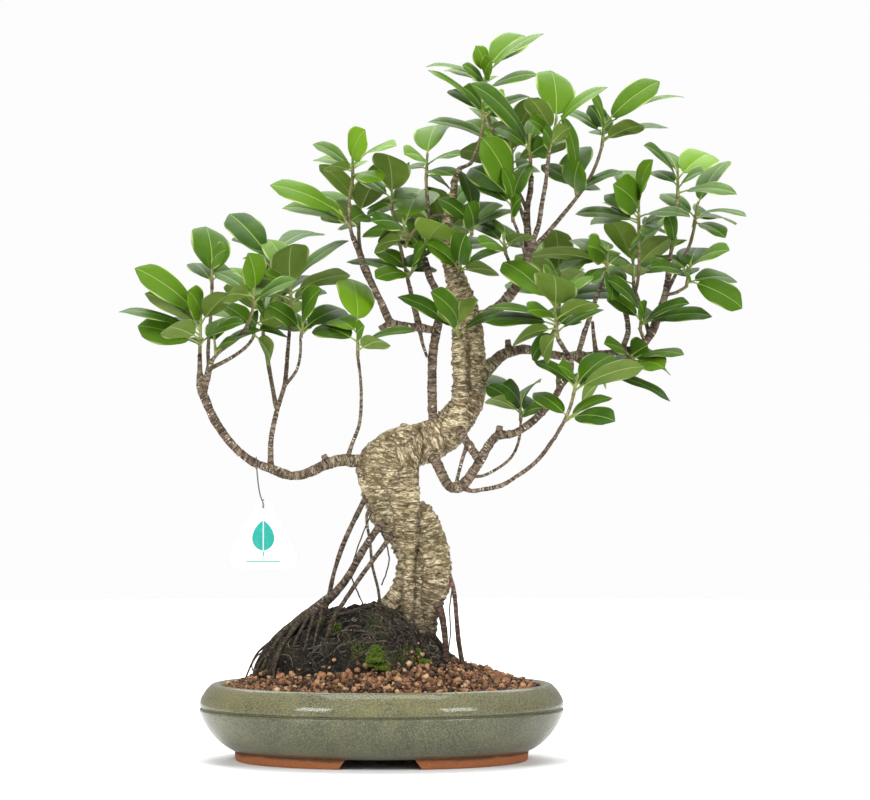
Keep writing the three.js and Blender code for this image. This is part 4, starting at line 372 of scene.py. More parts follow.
# The leafy sprays: each tuft is where its stem starts, how it rises, and its leaves, each with its
# tip to the right and up of the start, its side, how it shows its face, and perhaps width and length.
SPRAYS = {
    "spray_left_tip": {"tufts": [([-163, -13, 366], [1, 1, 34], [[-17, 13, 1, 0.35, 20, 40], [-56, 25, 1,
    0.9], [-27, 22, -1, -0.8], [-71, 38, -1, 0.3], [-25, 33, 1, 0.6], [-49, 54, -1, -0.6], [31, 53, -1,
    -0.7], [-8, 55, -1, 0.5], [-56, 76, 1, 0.8]])]},
    "spray_left_upper": {"stem": [[-155, -14, 352], [-156, -7, 368], [-154, -2, 398], [-153, 1, 424]],
    "tufts": [([-153, 1, 424], [0, 2, 22], [[-19, 25, 1, 0.7, 20, 40], [-7, 58, 1, 0.85, 33], [27, 40, 1,
    0.45], [-58, 49, -1, 0.25], [14, 34, -1, 0.6, 20, 40]])]},
    "spray_left_middle": {"stem": [[-152, -19, 359], [-144, -22, 368], [-127, -26, 380], [-118, -28, 395],
    [-114, -29, 407]], "tufts": [([-148, -21, 364], [-1, -4, 12], [[18, 12, -1, 0.4, 16, 32], [4, 34, 1,
    0.8, 22, 44]]), ([-114, -29, 407], [0, -4, 16], [[7, -9, 1, 0.35, 16, 34], [-23, 9, -1, -0.7, 20, 40],
    [-2, 46, -1, 0.75, 22]])]},
    "spray_left_inner": {"tufts": [([-116, 4, 380], [2, 4, 14], [[17, -22, -1, -0.6, 20, 44], [29, 2, 1,
    0.4, 18, 42], [-2, 18, -1, 0.6, 18, 36], [28, 20, -1, -0.7, 22, 46]])]},
    "spray_left_crown": {"stem": [[-84, 26, 387], [-84, 27, 396], [-83, 28, 407]], "tufts": [([-83, 28,
    407], [0, 2, 24], [[30, 18, 1, 0.6, 20, 42], [-50, 20, -1, -0.6], [-22, 31, -1, 0.4, 18, 46], [54, 31,
    -1, -0.45], [2, 58, -1, -0.9, 32], [52, 63, 1, 0.35], [-22, 65, 1, 0.8]])], "side": [[-84, 26, 396],
    [-90, 32, 412], [-98, 37, 426], [-102, 40, 441]], "side_tufts": [([-102, 40, 441], [0, 6, 20], [[-22,
    16, 1, 0.6, 20, 44], [20, 10, 1, 0.5, 20, 44], [-40, 55, 1, 0.9, 26], [45, 38, 1, 0.5], [15, 56, 1,
    0.85, 26]])]},
    "spray_left_fork": {"tufts": [([-73, 4, 380], [2, -3, 12], [[-3, 21, 1, 0.5, 14, 28], [39, 27, 1, 0.7],
    [19, 43, -1, 0.5]])]},
    "spray_inner": {"tufts": [([-21, -26, 363], [0, -2, 26], [[25, 13, -1, -0.7, 20, 44], [51, 22, -1, 0.3,
    18], [-39, 27, 1, 0.7], [6, 26, -1, 0.6, 16, 30], [-23, 34, 1, 0.7, 22], [-7, 72, 1, 0.9, 30, 70]])]},
    "spray_upper_left": {"stem": [[-26, -7, 470], [-29, -5, 484], [-29, -4, 505], [-26, -3, 523]], "tufts":
    [([-28, -6, 478], [-7, -8, 12], [[-61, 19, -1, 0.5, 20], [-26, 26, -1, 0.6, 14, 32], [14, 26, -1, -0.6,
    20, 42], [-29, 37, 1, 0.25, 16, 44], [-71, 38, 1, 0.7]]), ([-26, -3, 523], [0, 0, 16], [[27, -3, -1,
    0.6, 20, 40], [-23, 9, -1, -0.5, 18, 36], [-35, 19, 1, 0.5, 22, 44], [39, 28, -1, 0.2], [11, 40, -1,
    0.8, 22, 46]])]},
    "spray_upper_middle": {"stem": [[25, 4, 426], [20, 8, 448], [15, 10, 470], [9, 12, 496]], "tufts":
    [([23, 6, 434], [6, -8, 8], [[-55, 15, -1, 0.35], [-28, -1, -1, 0.6, 20, 40], [12, 25, 1, 0.7, 20, 40],
    [16, 29, -1, 0.4, 16, 40]]), ([9, 12, 496], [0, 0, 18], [[-19, 5, 1, 0.5, 18, 36], [21, 9, -1, 0.2, 20,
    36], [-4, 48, -1, -0.9, 30, 58], [14, 42, 1, 0.35, 20], [-24, 34, 1, 0.7, 22, 46]])]},
    "spray_lateral": {"stem": [[61, 2, 489], [50, 0, 490], [43, 0, 488], [35, -3, 482], [27, -5, 474], [21,
    -7, 461]], "tufts": [([23, -7, 465], [-3, -6, 16], [[-29, -6, -1, -0.6, 18, 40], [-24, 5, -1, -0.7, 18,
    38], [-40, 10, 1, 0.5], [-30, 17, -1, 0.6, 20, 44], [14, 53, 1, 0.95, 34, 64]])], "side": [[43, 0,
    488], [41, -4, 505], [40, -6, 522]], "side_tufts": [([40, -6, 522], [1, -1, 20], [[19, -3, 1, 0.5, 18,
    36], [23, 2, -1, 0.5, 20, 40], [-22, 11, 1, 0.4, 20, 40], [30, 20, -1, 0.25, 18, 44], [-19, 21, -1,
    0.5, 20, 40], [11, 54, 1, 0.85, 28, 60]])]},
    "spray_second_stem": {"tufts": [([38, -2, 451], [1, -3, 14], [[8, 6, -1, 0.6, 10, 22], [-22, 18, 1,
    0.6, 20, 42], [-10, 12, -1, 0.5, 10, 24], [17, 30, -1, -0.9, 34, 46]])]},
    "spray_trunk_upper": {"stem": [[68, 0, 436], [69, -7, 437], [70, -13, 440]], "tufts": [([69, -8, 437],
    [2, -8, 8], [[35, 0, -1, -0.5, 20, 46], [6, 34, -1, 0.8, 22, 46]])]},
    "spray_trunk_front": {"stem": [[71, -8, 378], [70, -16, 380], [69, -20, 383]], "tufts": [([70, -16,
    381], [-3, -10, 8], [[-55, 36, -1, 0.5], [1, 32, -1, -0.9, 32, 44], [-25, 37, -1, 0.7, 22, 50]])]},
    "spray_trunk_right": {"stem": [[60, 3, 463], [66, 0, 464], [74, -4, 467], [81, -8, 472]], "tufts":
    [([81, -8, 472], [0, -2, 20], [[-4, 27, -1, 0.7, 20, 40], [23, 32, 1, 0.7, 22, 46], [-12, 63, 1, 0.6,
    22, 62], [22, 8, -1, 0.5, 18, 36]])]},
    "spray_top": {"stem": [[131, -2, 494], [126, 2, 506], [116, 8, 526], [110, 12, 544], [105, 15, 558],
    [98, 17, 574], [95, 18, 588], [94, 18, 601]], "tufts": [([108, 13, 549], [-8, -6, 12], [[-66, 27, -1,
    0.45, 20], [24, 12, 1, 0.6, 20, 44]]), ([94, 18, 601], [0, -2, 22], [[46, 16, -1, 0.5, 18, 52], [-21,
    25, -1, 0.6, 14, 34], [-37, 24, 1, 0.5, 20, 46], [-54, 25, -1, 0.25, 20], [5, 28, -1, 0.6, 18, 36],
    [52, 55, -1, 0.35, 20], [-9, 43, -1, 0.7, 20, 48], [36, 57, 1, 0.85, 26]])]},
    "spray_trunk_top": {"stem": [[71, 0, 533], [80, -2, 537], [84, -2, 545], [89, -2, 560], [92, -1, 574],
    [94, 0, 583]], "tufts": [([92, -1, 574], [-2, -3, 16], [[-50, 47, -1, 0.3, 18], [-19, 29, -1, 0.6, 18,
    38], [18, 20, -1, 0.6, 18, 38]])]},
    "spray_high_middle": {"stem": [[134.6, 1, 525], [134, 2, 540], [133.7, 3, 550]], "tufts": [([134, 2,
    538], [-1, -4, 20], [[20, 27, 1, 0.6, 22, 46], [-54, 65, -1, 0.6, 24, 84], [-12, 38, 1, 0.6, 20, 44],
    [14, 48, 1, 0.7, 20, 48]])]},
    "spray_high_front": {"stem": [[149, -21, 535], [150, -22, 545], [151, -23, 552]], "tufts": [([149, -21,
    542], [7, -4, 30], [[-5, 22, -1, 0.5, 18, 34], [20, 26, -1, -0.6, 20, 40], [-17, 31, -1, 0.6, 18, 42],
    [-18, 51, -1, -0.7, 22, 52], [53, 62, -1, 0.4, 22], [4, 80, 1, 0.9, 33, 62]])]},
    "spray_high_right": {"stem": [[169, 23, 498], [179, 28, 511], [189, 31, 526], [196, 33, 542], [200, 34,
    555]], "tufts": [([177, 27, 509], [-3, -8, 12], [[0, 29, -1, 0.8, 24, 50], [4, 47, 1, 0.85, 28, 52],
    [-15, 71, -1, 0.5, 22, 76]]), ([200, 34, 555], [2, 0, 20], [[36, 17, -1, -0.6, 20, 46], [61, 18, -1,
    0.35, 20], [-1, 40, 1, 0.6, 20, 44], [-12, 46, -1, 0.3, 20], [-12, 37, 1, 0.7, 22, 46], [74, 46, -1,
    0.25, 20], [52, 59, 1, 0.8]])]},
    "spray_top_inner": {"tufts": [([118, -18, 483], [-2, -3, 28], [[6, 20, -1, 0.5, 16, 34], [14, 54, 1,
    0.6], [-10, 47, -1, 0.5, 20, 46], [-38, 51, 1, 0.85, 26], [-28, 74, -1, 0.8, 30, 66]])]},
    "spray_middle": {"tufts": [([111.5, -18, 454], [-2, -4, 14], [[-24, 8, -1, 0.5, 20, 46], [22, 16, -1,
    -0.5, 18, 40], [-4, 30, 1, 0.8, 23, 44]])]},
    "spray_front": {"tufts": [([157, -54, 377], [-4, -6, 34], [[-14, -17, -1, -0.7, 20, 40], [-23, -17, -1,
    0.6, 20, 42], [-41, -4, -1, -0.5, 20, 50], [-65, 17, 1, 0.5, 22], [-62, 28, -1, 0.3, 20], [32, 32, -1,
    -0.6, 22, 52], [-28, 25, -1, 0.5, 20, 44], [-10, 25, 1, 0.6, 14, 30], [-6, 57, -1, -0.9, 34, 58], [30,
    59, 1, 0.5], [-48, 71, 1, 0.85, 24, 74], [-10, 68, 1, 0.5, 22, 60]])]},
    "spray_low_middle": {"tufts": [([125, -8, 305], [0, 0, 18], [[19, 12, -1, 0.5, 16, 34], [-30, 20, -1,
    -0.6, 20, 44], [-17, 33, -1, 0.6, 20, 46], [18, 36, 1, 0.3, 18, 46], [-45, 35, 1, 0.7]])]},
    "spray_low_right": {"stem": [[153, -60, 289], [158, -61.5, 298], [163, -63, 307], [168, -65, 320],
    [170, -66, 328]], "tufts": [([162, -63, 305], [8, -3, 5], [[43, 1, -1, 0.6, 22, 52]]), ([170, -66,
    328], [3, -2, 14], [[62, 26, -1, -0.6, 24], [37, 36, 1, 0.7], [-14, 26, -1, 0.5, 16, 34]])]},
    "spray_hooked": {"stem": [[198, 39, 364], [200, 36, 355], [200, 33, 346]], "tufts": [([200, 34, 350],
    [2, -4, -10], [[62, -27, -1, 0.4, 20], [-20, -30, -1, -0.6, 20, 44]])]},
    "spray_low_back": {"stem": [[222, 41, 368], [224, 34, 364], [227, 28, 360]], "tufts": [([223, 37, 366],
    [7, -12, -8], [[-22, 9, -1, 0.5, 18, 38], [-40, 5, -1, -0.6, 20, 48], [35, -3, 1, 0.6, 22, 50], [49,
    -1, -1, 0.3, 20], [40, -18, 1, 0.4, 20, 50], [31, -13, -1, 0.7, 20, 46]])]},
    "spray_right_low": {"stem": [[240, 42, 377], [237, 38, 383], [234, 36, 390]], "tufts": [([235, 37,
    388], [1, -5, 16], [[65, 13, 1, 0.5, 22], [-2, 24, -1, 0.6, 14, 32], [-32, 45, -1, 0.5, 20]])]},
    "spray_right_inner": {"stem": [[200, 20, 430], [203, 18, 437], [204, 18, 443]], "tufts": [([203, 18,
    438], [1, -5, 20], [[4, -24, -1, 0.6, 20, 42], [-18, -9, -1, 0.5, 18, 38], [-67, 16, -1, -0.4, 20],
    [-43, 8, 1, 0.6, 22], [-1, 20, -1, -0.8, 20, 40], [-18, 25, -1, 0.8, 26, 44], [-9, 34, 1, 0.6, 20,
    44]])]},
    "spray_right_middle": {"stem": [[220, 50, 412], [224, 49, 416], [230, 48, 421], [233.6, 46, 436],
    [234.5, 44, 454], [234, 42, 479]], "tufts": [([234, 43, 474], [0, -3, 30], [[1, -1, -1, -0.9, 30, 44],
    [24, 7, 1, 0.6, 20, 44], [-58, 20, -1, 0.5, 20], [-42, 16, 1, 0.6], [44, 16, -1, 0.4, 20], [-27, 33, 1,
    0.6, 20], [-25, 44, -1, 0.85, 30], [10, 67, -1, 0.4, 20], [-16, 63, 1, 0.85, 28, 62]])]},
    "spray_right_top": {"stem": [[262.4, 38, 454], [264, 37, 466], [266, 36, 485], [269, 35, 508]],
    "tufts": [([263, 37, 459], [3, -9, 9], [[9, 10, -1, -0.6, 14, 28], [19, 23, -1, 0.5, 18, 40], [-5, 34,
    -1, 0.6, 20, 42], [17, 40, 1, 0.6, 18, 44]]), ([269, 35, 508], [0, -2, 22], [[52, 3, -1, 0.45, 20],
    [21, 22, -1, 0.3, 18, 40], [-24, 26, 1, 0.6, 20, 44], [-32, 46, -1, 0.35, 20], [33, 43, 1, 0.85, 28,
    60], [-14, 47, 1, 0.7, 22]])]},
    "spray_right_outer": {"stem": [[257, 42, 415], [264, 46, 431], [273, 50, 448], [282, 55, 468], [287,
    58, 488]], "tufts": [([285, 57, 482], [3, 0, 18], [[27, -10, -1, 0.6, 18, 40], [42, 5, 1, 0.25, 18],
    [45, 9, -1, 0.25, 18], [35, 64, 1, 0.6, 24, 68]])], "side": [[259, 43, 420], [268, 41, 422], [278, 38,
    428]], "side_tufts": [([277, 38, 427], [3, -4, 18], [[48, 7, 1, 0.5], [51, -19, -1, 0.8, 26], [-2, 12,
    -1, 0.5, 14, 28], [-34, 17, -1, 0.5, 20, 46], [-24, 30, 1, 0.6, 20, 44], [14, 38, 1, 0.85, 28, 48],
    [35, 32, -1, 0.4, 20]])]},
}
BACK_SPRAYS = {
    "spray_back_left": {"at": [-95.5, 9, 317], "path": [[-103, 36, 352], [-110, 66, 385]], "count": 8,
    "turn": 40},
    "spray_back_upper": {"at": [-18, 34, 453], "path": [[-21, 48, 464], [-22, 60, 478]], "count": 8,
    "turn": 100},
    "spray_back_middle": {"at": [68, 8, 430], "path": [[62, 40, 440], [54, 74, 456]], "count": 9, "turn":
    10},
    "spray_back_top": {"at": [124, 36, 503], "path": [[121, 52, 516], [119, 64, 532]], "count": 8, "turn":
    70},
    "spray_back_low": {"at": [158, 70, 387], "path": [[161, 80, 398], [163, 87, 412]], "count": 8, "turn":
    20},
    "spray_back_right": {"at": [244, 43, 382], "path": [[240, 68, 402], [232, 88, 428]], "count": 8,
    "turn": 130},
}
WIRE_PATH = [
    [-112.5, -14.4, 262.6], [-112.6, -11.7, 267.3], [-112.4, -13.2, 271.1], [-112.2, -17, 272.7], [-112,
    -20.8, 271.1], [-111.8, -22.3, 267.3], [-111.4, -22, 262], [-110.8, -21.3, 255], [-109.8, -20.8, 246],
    [-108.2, -20.5, 238], [-106.2, -20.5, 232.5], [-105.8, -19.8, 228.9], [-105.8, -17.8, 227.5], [-105.8,
    -15.8, 228.9], [-105.8, -15.1, 232], [-105.8, -15.1, 235],
]


# ---------------------------------------------------------------- pot

OVAL = 39  # how much shorter the pot's half-width is than its half-length, in millimetres
POT_STEPS = 240
DRAINS = (-62, 62)  # to the left and right of the pot's middle
DRAIN_RADIUS = 11
FOOT_TOP, FOOT_STEPS = 11, 90
# The glazed wall from its underside up, over the lip and down inside: half-length and height.
POT_PROFILE = [
    (133, 9), (139.6, 12.4), (147, 18), (152.6, 24), (157, 30), (161, 37.4), (163.2, 42.6), (164, 45.4),
    (163.5, 46.7), (162.1, 47.5), (162.3, 48.3), (163.5, 49.1), (163.9, 50.6), (163.2, 54.6), (161.4, 58.3),
    (158.8, 62.4), (155.5, 66.2), (153.3, 68.1), (151, 69), (148.2, 68.9), (146, 67.9), (144.5, 66),
    (144, 63.4), (146.4, 54.4), (149, 43.2), (147.3, 34), (143, 25), (137, 16),
]
# A foot's section, from its inner top corner down and round: half-length and height.
FOOT_PROFILE = [
    (116, 11), (117.2, 1.4), (117.8, 0.4), (118.8, 0), (129.8, 0), (131, 0.4), (131.6, 1.4), (132.5, 9),
    (133, 11),
]
FOOT_SLOT = (29, 37)  # half the space between the feet, at its top and at the ground


def oval_point(half_length, z, angle):
    return place(half_length * math.cos(angle), (half_length - OVAL) * math.sin(angle), z)


def grid_faces(rows, columns, closed):
    faces = []
    for i in range(rows - 1):
        for s in range(columns if closed else columns - 1):
            a, b = i * columns + s, i * columns + (s + 1) % columns
            faces.append((a, b, b + columns, a + columns))
    return faces


def pot_wall():
    rows = smooth_curve([(h, z, 0) for h, z in POT_PROFILE], 4)
    turns = [2 * math.pi * i / POT_STEPS for i in range(POT_STEPS)]
    vertices = [oval_point(row[0], row[1], angle) for row in rows for angle in turns]
    faces = grid_faces(len(rows), POT_STEPS, True)
    faces.append(tuple(reversed(range(POT_STEPS))))
    faces.append(tuple(range((len(rows) - 1) * POT_STEPS, len(rows) * POT_STEPS)))
    return vertices, faces


def pot_foot(side):
    """One C-shaped foot, on the right for side 1 and on the left for side -1."""
    steps = FOOT_STEPS
    vertices = []
    for half_length, z in FOOT_PROFILE:
        opening = FOOT_SLOT[1] + (FOOT_SLOT[0] - FOOT_SLOT[1]) * z / FOOT_TOP
        reach = math.acos(opening / half_length)
        for i in range(steps):
            angle = -reach + 2 * reach * i / (steps - 1)
            point = oval_point(half_length, z, angle)
            point.x = MIDDLE_X + side * (point.x - MIDDLE_X)
            vertices.append(point)
    rows = len(FOOT_PROFILE)
    faces = grid_faces(rows, steps, False)
    faces.extend((j + 1, j, (rows - 1) * steps + j, (rows - 1) * steps + j + 1) for j in range(steps - 1))
    faces.append(tuple(i * steps for i in range(rows)))
    faces.append(tuple(i * steps + steps - 1 for i in reversed(range(rows))))
    return vertices, faces


def outward(piece):
    """Turns every face of a closed mesh outwards."""
    work = bmesh.new()
    work.from_mesh(piece.data)
    bmesh.ops.recalc_face_normals(work, faces=work.faces)
    work.to_mesh(piece.data)
    work.free()


def glaze_look():
    look = Look("celadon_crackle_glaze", Coat_Weight=0.4, Coat_Roughness=0.07, Specular_IOR_Level=0.35)
    height = look.height()
    lip = look.ramp(look.times(height, 10), (0.46, 0), (0.53, 1))
    mottle = look.noise(18, 5, 0.62, distortion=0.8)
    cloud = look.noise(7.5, 3, 0.5)
    fine = look.noise(620, 3, 0.75)
    body = look.mix(look.ramp(mottle, (0.36, 0), (0.62, 1)), (0.075, 0.080, 0.041), (0.145, 0.145, 0.072))
    body = look.mix(look.ramp(cloud, (0.5, 0), (0.7, 0.8)), body, (0.066, 0.070, 0.040))
    olive = look.times(lip, look.ramp(cloud, (0.3, 1), (0.56, 0.35)))
    body = look.mix(olive, body, (0.165, 0.150, 0.052))
    wobble = look.node("ShaderNodeTexNoise", {"Vector": look.where, "Scale": 150.0})
    warped = look.mix(0.004, look.where, wobble.outputs["Color"], "ADD")
    crack = look.cells(500, "DISTANCE_TO_EDGE", vector=warped)
    web = look.ramp(crack, (0.0, 1), (0.15, 0))
    grain = look.cells(500, vector=warped)
    body = look.mix(look.ramp(grain, (0.1, 0.45), (0.5, 0)), body, (0.29, 0.275, 0.145))
    drift = look.ramp(look.noise(30, 3), (0.35, 0.4), (0.65, 0.95))
    body = look.mix(look.times(web, drift), body, (0.028, 0.031, 0.018))
    body = look.mix(look.ramp(fine, (0.55, 0), (0.72, 0.55)), body, (0.30, 0.27, 0.15))
    pits = look.ramp(look.cells(95), (0.05, 1), (0.13, 0))
    pits = look.times(pits, look.ramp(look.noise(38, 2), (0.56, 0), (0.64, 1)))
    body = look.mix(pits, body, (0.045, 0.048, 0.035))
    # Painted shade: the glaze is darkened along the seam groove round the pot's widest part.
    seam_shade = look.math("ABSOLUTE", look.math("SUBTRACT", height, 0.0476))
    seam_shade = look.ramp(look.times(seam_shade, 700), (0.1, 1), (0.6, 0))
    body = look.mix(look.times(seam_shade, 0.25), body, (0.06, 0.065, 0.045))
    hem = look.plus(height, look.times(look.noise(60, 3), 0.003))
    hem = look.ramp(look.times(hem, 40), (0.47, 1), (0.62, 0))
    body = look.mix(look.times(hem, 0.7), body, (0.085, 0.052, 0.026))
    look.colour(body)
    look.rough(fine, 0.2, 0.4)
    look.bump((web, 0.15), (mottle, 0.6), (pits, -0.3))
    return look.material


def terracotta_look():
    look = Look("bare_terracotta", Specular_IOR_Level=0.25)
    grain = look.noise(700, 3, 0.7)
    stain = look.noise(28, 4, 0.6)
    height = look.height()
    body = look.mix(stain, (0.25, 0.080, 0.030), (0.44, 0.165, 0.062))
    body = look.mix(look.ramp(grain, (0.58, 0), (0.74, 0.7)), body, (0.62, 0.36, 0.2))
    # Darker towards the top of the feet, with a noisy edge.
    top_darkening = look.plus(look.times(height, 70), look.times(stain, 0.8))
    body = look.mix(look.ramp(top_darkening, (0.86, 0), (1.0, 0.85)), body, (0.10, 0.045, 0.022))
    specks = look.ramp(look.cells(170), (0.1, 1), (0.2, 0))
    specks = look.times(specks, look.ramp(look.noise(55, 2), (0.55, 0), (0.62, 1)))
    body = look.mix(specks, body, (0.05, 0.025, 0.015))
    look.colour(body)
    look.rough(grain, 0.72, 0.95)
    look.bump((grain, 0.35), (stain, 0.6), (specks, -0.4))
    return look.material


def build_pot():
    vertices, faces = pot_wall()
    wall = add_mesh("pot_glazed_wall", vertices, faces, glaze_look())
    outward(wall)
    drills = [placed_tube([(x, 0, z, DRAIN_RADIUS) for z in (6, 12.5, 19)], 40) for x in DRAINS]
    drill = add_mesh("drill", *gather(drills), wall.data.materials[0])
    outward(drill)
    cut = wall.modifiers.new("drain", "BOOLEAN")
    cut.object = drill
    cut.solver = "EXACT"
    bake_modifiers(wall)
    bpy.data.objects.remove(drill)
    stand_for(wall, "glaze", "pot")
    feet = add_mesh("pot_feet", *gather([pot_foot(1), pot_foot(-1)]), terracotta_look())
    outward(feet)
    feet.data.set_sharp_from_angle(angle=math.radians(50))
    stand_for(feet, "glaze")


# ---------------------------------------------------------------- soil, gravel and moss

RIM_LENGTH, RIM_WIDTH = 144, 105  # half the pot's opening
MOUND = {"top": 140, "foot": 61.3, "left": 117, "right": 50, "deep": 64}
GRAVEL_RIM, GRAVEL_CONE = 64, 45


def mound_height(x, y):
    reach = MOUND["left"] if x < 0 else MOUND["right"]
    inside = 1 - (x / reach) ** 2 - (y / MOUND["deep"]) ** 2
    return MOUND["foot"] + (MOUND["top"] - MOUND["foot"]) * math.sqrt(max(inside, 0))


def gravel_height(x, y):
    return GRAVEL_RIM + GRAVEL_CONE * (1 - math.hypot(x / RIM_LENGTH, y / RIM_WIDTH))


def ground_height(x, y):
    return max(mound_height(x, y), gravel_height(x, y))


def fractal(x, y, z, octaves=3):
    return noise.fractal(Vector((x, y, z)), 0.9, 2.1, octaves)


def root_ball_relief(x, y):
    clods = fractal(x / 15, y / 15, mound_height(x, y) / 15)
    lumps = abs(noise.noise(Vector((x / 7, y / 7, mound_height(x, y) / 7 + 5))))
    crumbs = fractal(x / 3.4, y / 3.4, mound_height(x, y) / 3.4 + 9)
    return 3.2 * clods - 3.6 * lumps + 1.5 * crumbs + 0.2


SOIL_RIGHT = 84  # how far the loose soil round the foot of the trunk spreads to the right
BALL_SIDES, BALL_RINGS = 300, 110


def soil_against_trunk(x, y):
    """The top of the loose soil banked round the foot of the trunk, on its right."""
    bank = 27 * math.exp(-((x - 40) / 21) ** 2 - ((y + 4) / 27) ** 2) - 4
    return gravel_height(x, y) + bank


def root_ball_surface(x, y):
    """The top of the root ball, clods and all."""
    bare = mound_height(x, y)
    bank = soil_against_trunk(x, y) if x > -40 else 0
    rough = root_ball_relief(x, y) * min(max((max(bare, bank) - 62) / 12, 0), 1)
    return max(bare, bank) + rough


def soil_point(angle, share):
    """Where a direction from the middle of the soil reaches, at a share of the way to its edge."""
    reach = MOUND["left"] if math.cos(angle) < 0 else SOIL_RIGHT
    return reach * share * math.cos(angle), MOUND["deep"] * share * math.sin(angle)


def build_root_ball(look):
    around, out = BALL_SIDES, BALL_RINGS
    vertices, faces = [], []
    for ring in range(1, out + 1):
        share = math.sin(0.5 * math.pi * ring / out)
        for s in range(around):
            angle = 2 * math.pi * s / around
            x, y = soil_point(angle, share)
            vertices.append(place(x, y, root_ball_surface(x, y) if ring < out else MOUND["foot"]))
    faces = grid_faces(out, around, True)
    top = len(vertices)
    vertices.append(place(0, 0, root_ball_surface(0, 0)))
    faces.extend((top, s, (s + 1) % around) for s in range(around))
    faces.append(tuple(reversed(range((out - 1) * around, out * around))))
    ball = add_mesh("root_ball_soil", vertices, faces, look)
    outward(ball)
    stand_for(ball, "soil", "root_ball")


def soil_look():
    look = Look("dark_mossy_soil", Specular_IOR_Level=0.15)
    clod = look.noise(60, 5, 0.65)
    crumb = look.noise(380, 4, 0.75)
    grain = look.cells(330)
    body = look.mix(look.ramp(clod, (0.38, 0), (0.66, 1)), (0.004, 0.0038, 0.0035), (0.026, 0.022, 0.017))
    body = look.mix(look.ramp(crumb, (0.5, 0), (0.7, 0.75)), body, (0.075, 0.062, 0.046))
    green = look.ramp(look.noise(30, 4, 0.6), (0.48, 0), (0.64, 1))
    green = look.times(green, look.ramp(crumb, (0.4, 0.05), (0.6, 0.7)))
    body = look.mix(green, body, (0.050, 0.068, 0.016))
    grit = look.ramp(look.cells(240), (0.12, 1), (0.2, 0))
    grit = look.times(grit, look.ramp(look.noise(80, 2), (0.58, 0), (0.67, 1)))
    body = look.mix(grit, body, (0.30, 0.27, 0.22))
    look.colour(body)
    look.rough(crumb, 0.85, 1.0)
    look.bump((clod, 3), (crumb, 1.8), (grain, -1.2))
    return look.material


def gravel_gap_shade_look():
    look = Look("gravel_gap_shade", Specular_IOR_Level=0.15)
    lumps = look.cells(230)
    # Painted shade: a dark bed under the loose grains stands for the shade in the gaps between them, darkest
    # at the cells' edges. On the potting soil it is also the soil's own dark colour.
    body = look.mix(lumps, (0.075, 0.037, 0.02), (0.02, 0.012, 0.009))
    look.colour(body)
    look.rough(lumps, 0.85, 1.0)
    look.bump((lumps, -1.8), (look.noise(500, 3), 0.6))
    return look.material


def gravel_look():
    look = Look("fired_clay_gravel", Specular_IOR_Level=0.15)
    tint = look.attribute("tint")
    grain = look.noise(650, 4, 0.7)
    patch = look.noise(190, 3, 0.6)
    body = look.ramp(
        tint, (0.0, (0.018, 0.015, 0.014)), (0.16, (0.065, 0.038, 0.026)), (0.34, (0.18, 0.083, 0.046)),
        (0.6, (0.35, 0.170, 0.085)), (0.82, (0.53, 0.30, 0.155)), (1.0, (0.64, 0.45, 0.27)),
    )
    body = look.mix(look.ramp(patch, (0.4, 0.7), (0.58, 0)), body, (0.065, 0.034, 0.022))
    body = look.mix(look.ramp(grain, (0.52, 0), (0.7, 0.65)), body, (0.64, 0.42, 0.23))
    look.colour(body)
    look.rough(grain, 0.85, 1.0)
    look.bump((grain, 0.8), (patch, 1.2))
    return look.material


def lump(rng, detail):
    """The vertices and faces of one rough grain about a unit across."""
    work = bmesh.new()
    bmesh.ops.create_icosphere(work, subdivisions=detail, radius=0.5)
    offset = Vector([rng.uniform(0, 90) for _ in range(3)])
    flats = [Vector([rng.gauss(0, 1) for _ in range(3)]).normalized() for _ in range(9)]
    depths = [rng.uniform(0.3, 0.42) for _ in flats]
    for vertex in work.verts:
        for flat, depth in zip(flats, depths):
            over = vertex.co.dot(flat) - depth
            if over > 0:
                vertex.co -= flat * over * 0.9
        slow, quick = (noise.noise(vertex.co * rate + offset) for rate in (4, 9))
        vertex.co *= 1 + slow * 0.35 + quick * 0.15
        vertex.co.z *= 0.82
    points = np.array([v.co[:] for v in work.verts])
    faces = np.array([[v.index for v in f.verts] for f in work.faces])
    work.free()
    return points, faces


def turn_matrix(rng):
    q = rng.standard_normal(4)
    w, x, y, z = q / np.linalg.norm(q)
    return np.array([
        [1 - 2 * (y * y + z * z), 2 * (x * y - z * w), 2 * (x * z + y * w)],
        [2 * (x * y + z * w), 1 - 2 * (x * x + z * z), 2 * (y * z - x * w)],
        [2 * (x * z - y * w), 2 * (y * z + x * w), 1 - 2 * (x * x + y * y)],
    ])


def scatter(name, look, slot, grains, lumps, seed):
    """Grains are rows of x, y, z, size in millimetres and tint."""
    rng = np.random.default_rng(seed)
    points, faces, tints = [], [], []
    start = 0
    for x, y, z, size, tint in grains:
        shape, triangles = lumps[rng.integers(len(lumps))]
        spread = size * rng.uniform(0.8, 1.2, 3) * MM
        points.append((shape * spread) @ turn_matrix(rng).T + np.array(place(x, y, z)))
        faces.append(triangles + start)
        tints.append(np.full(len(shape), tint))
        start += len(shape)
    piece = add_mesh(name, np.vstack(points), np.vstack(faces).tolist(), look)
    set_attribute(piece, "tint", np.concatenate(tints))
    stand_for(piece, slot)


CROWD_REACH, CROWD_SHARE = 8, 0.42  # how close grains may lie, in millimetres and as a share of sizes
COARSE_GRAINS, COARSE_TRIES, COARSE_CLIMB = 620, 60000, 9
COARSE_SHAPES, FINE_SHAPES = 14, 10
FINE_GRAINS, FINE_CLIMB = 2300, 15  # grains climb the root ball to this height, ever more thinly


def in_opening(x, y, margin):
    return math.hypot(x / (RIM_LENGTH - margin), y / (RIM_WIDTH - margin)) < 1


def grain_tint(rng):
    """Mostly orange brown, some tan, and now and then a black grain."""
    draw = rng.random()
    if draw < 0.2:
        return rng.uniform(0, 0.16)
    return min(max(rng.gauss(0.52, 0.23), 0.1), 1)


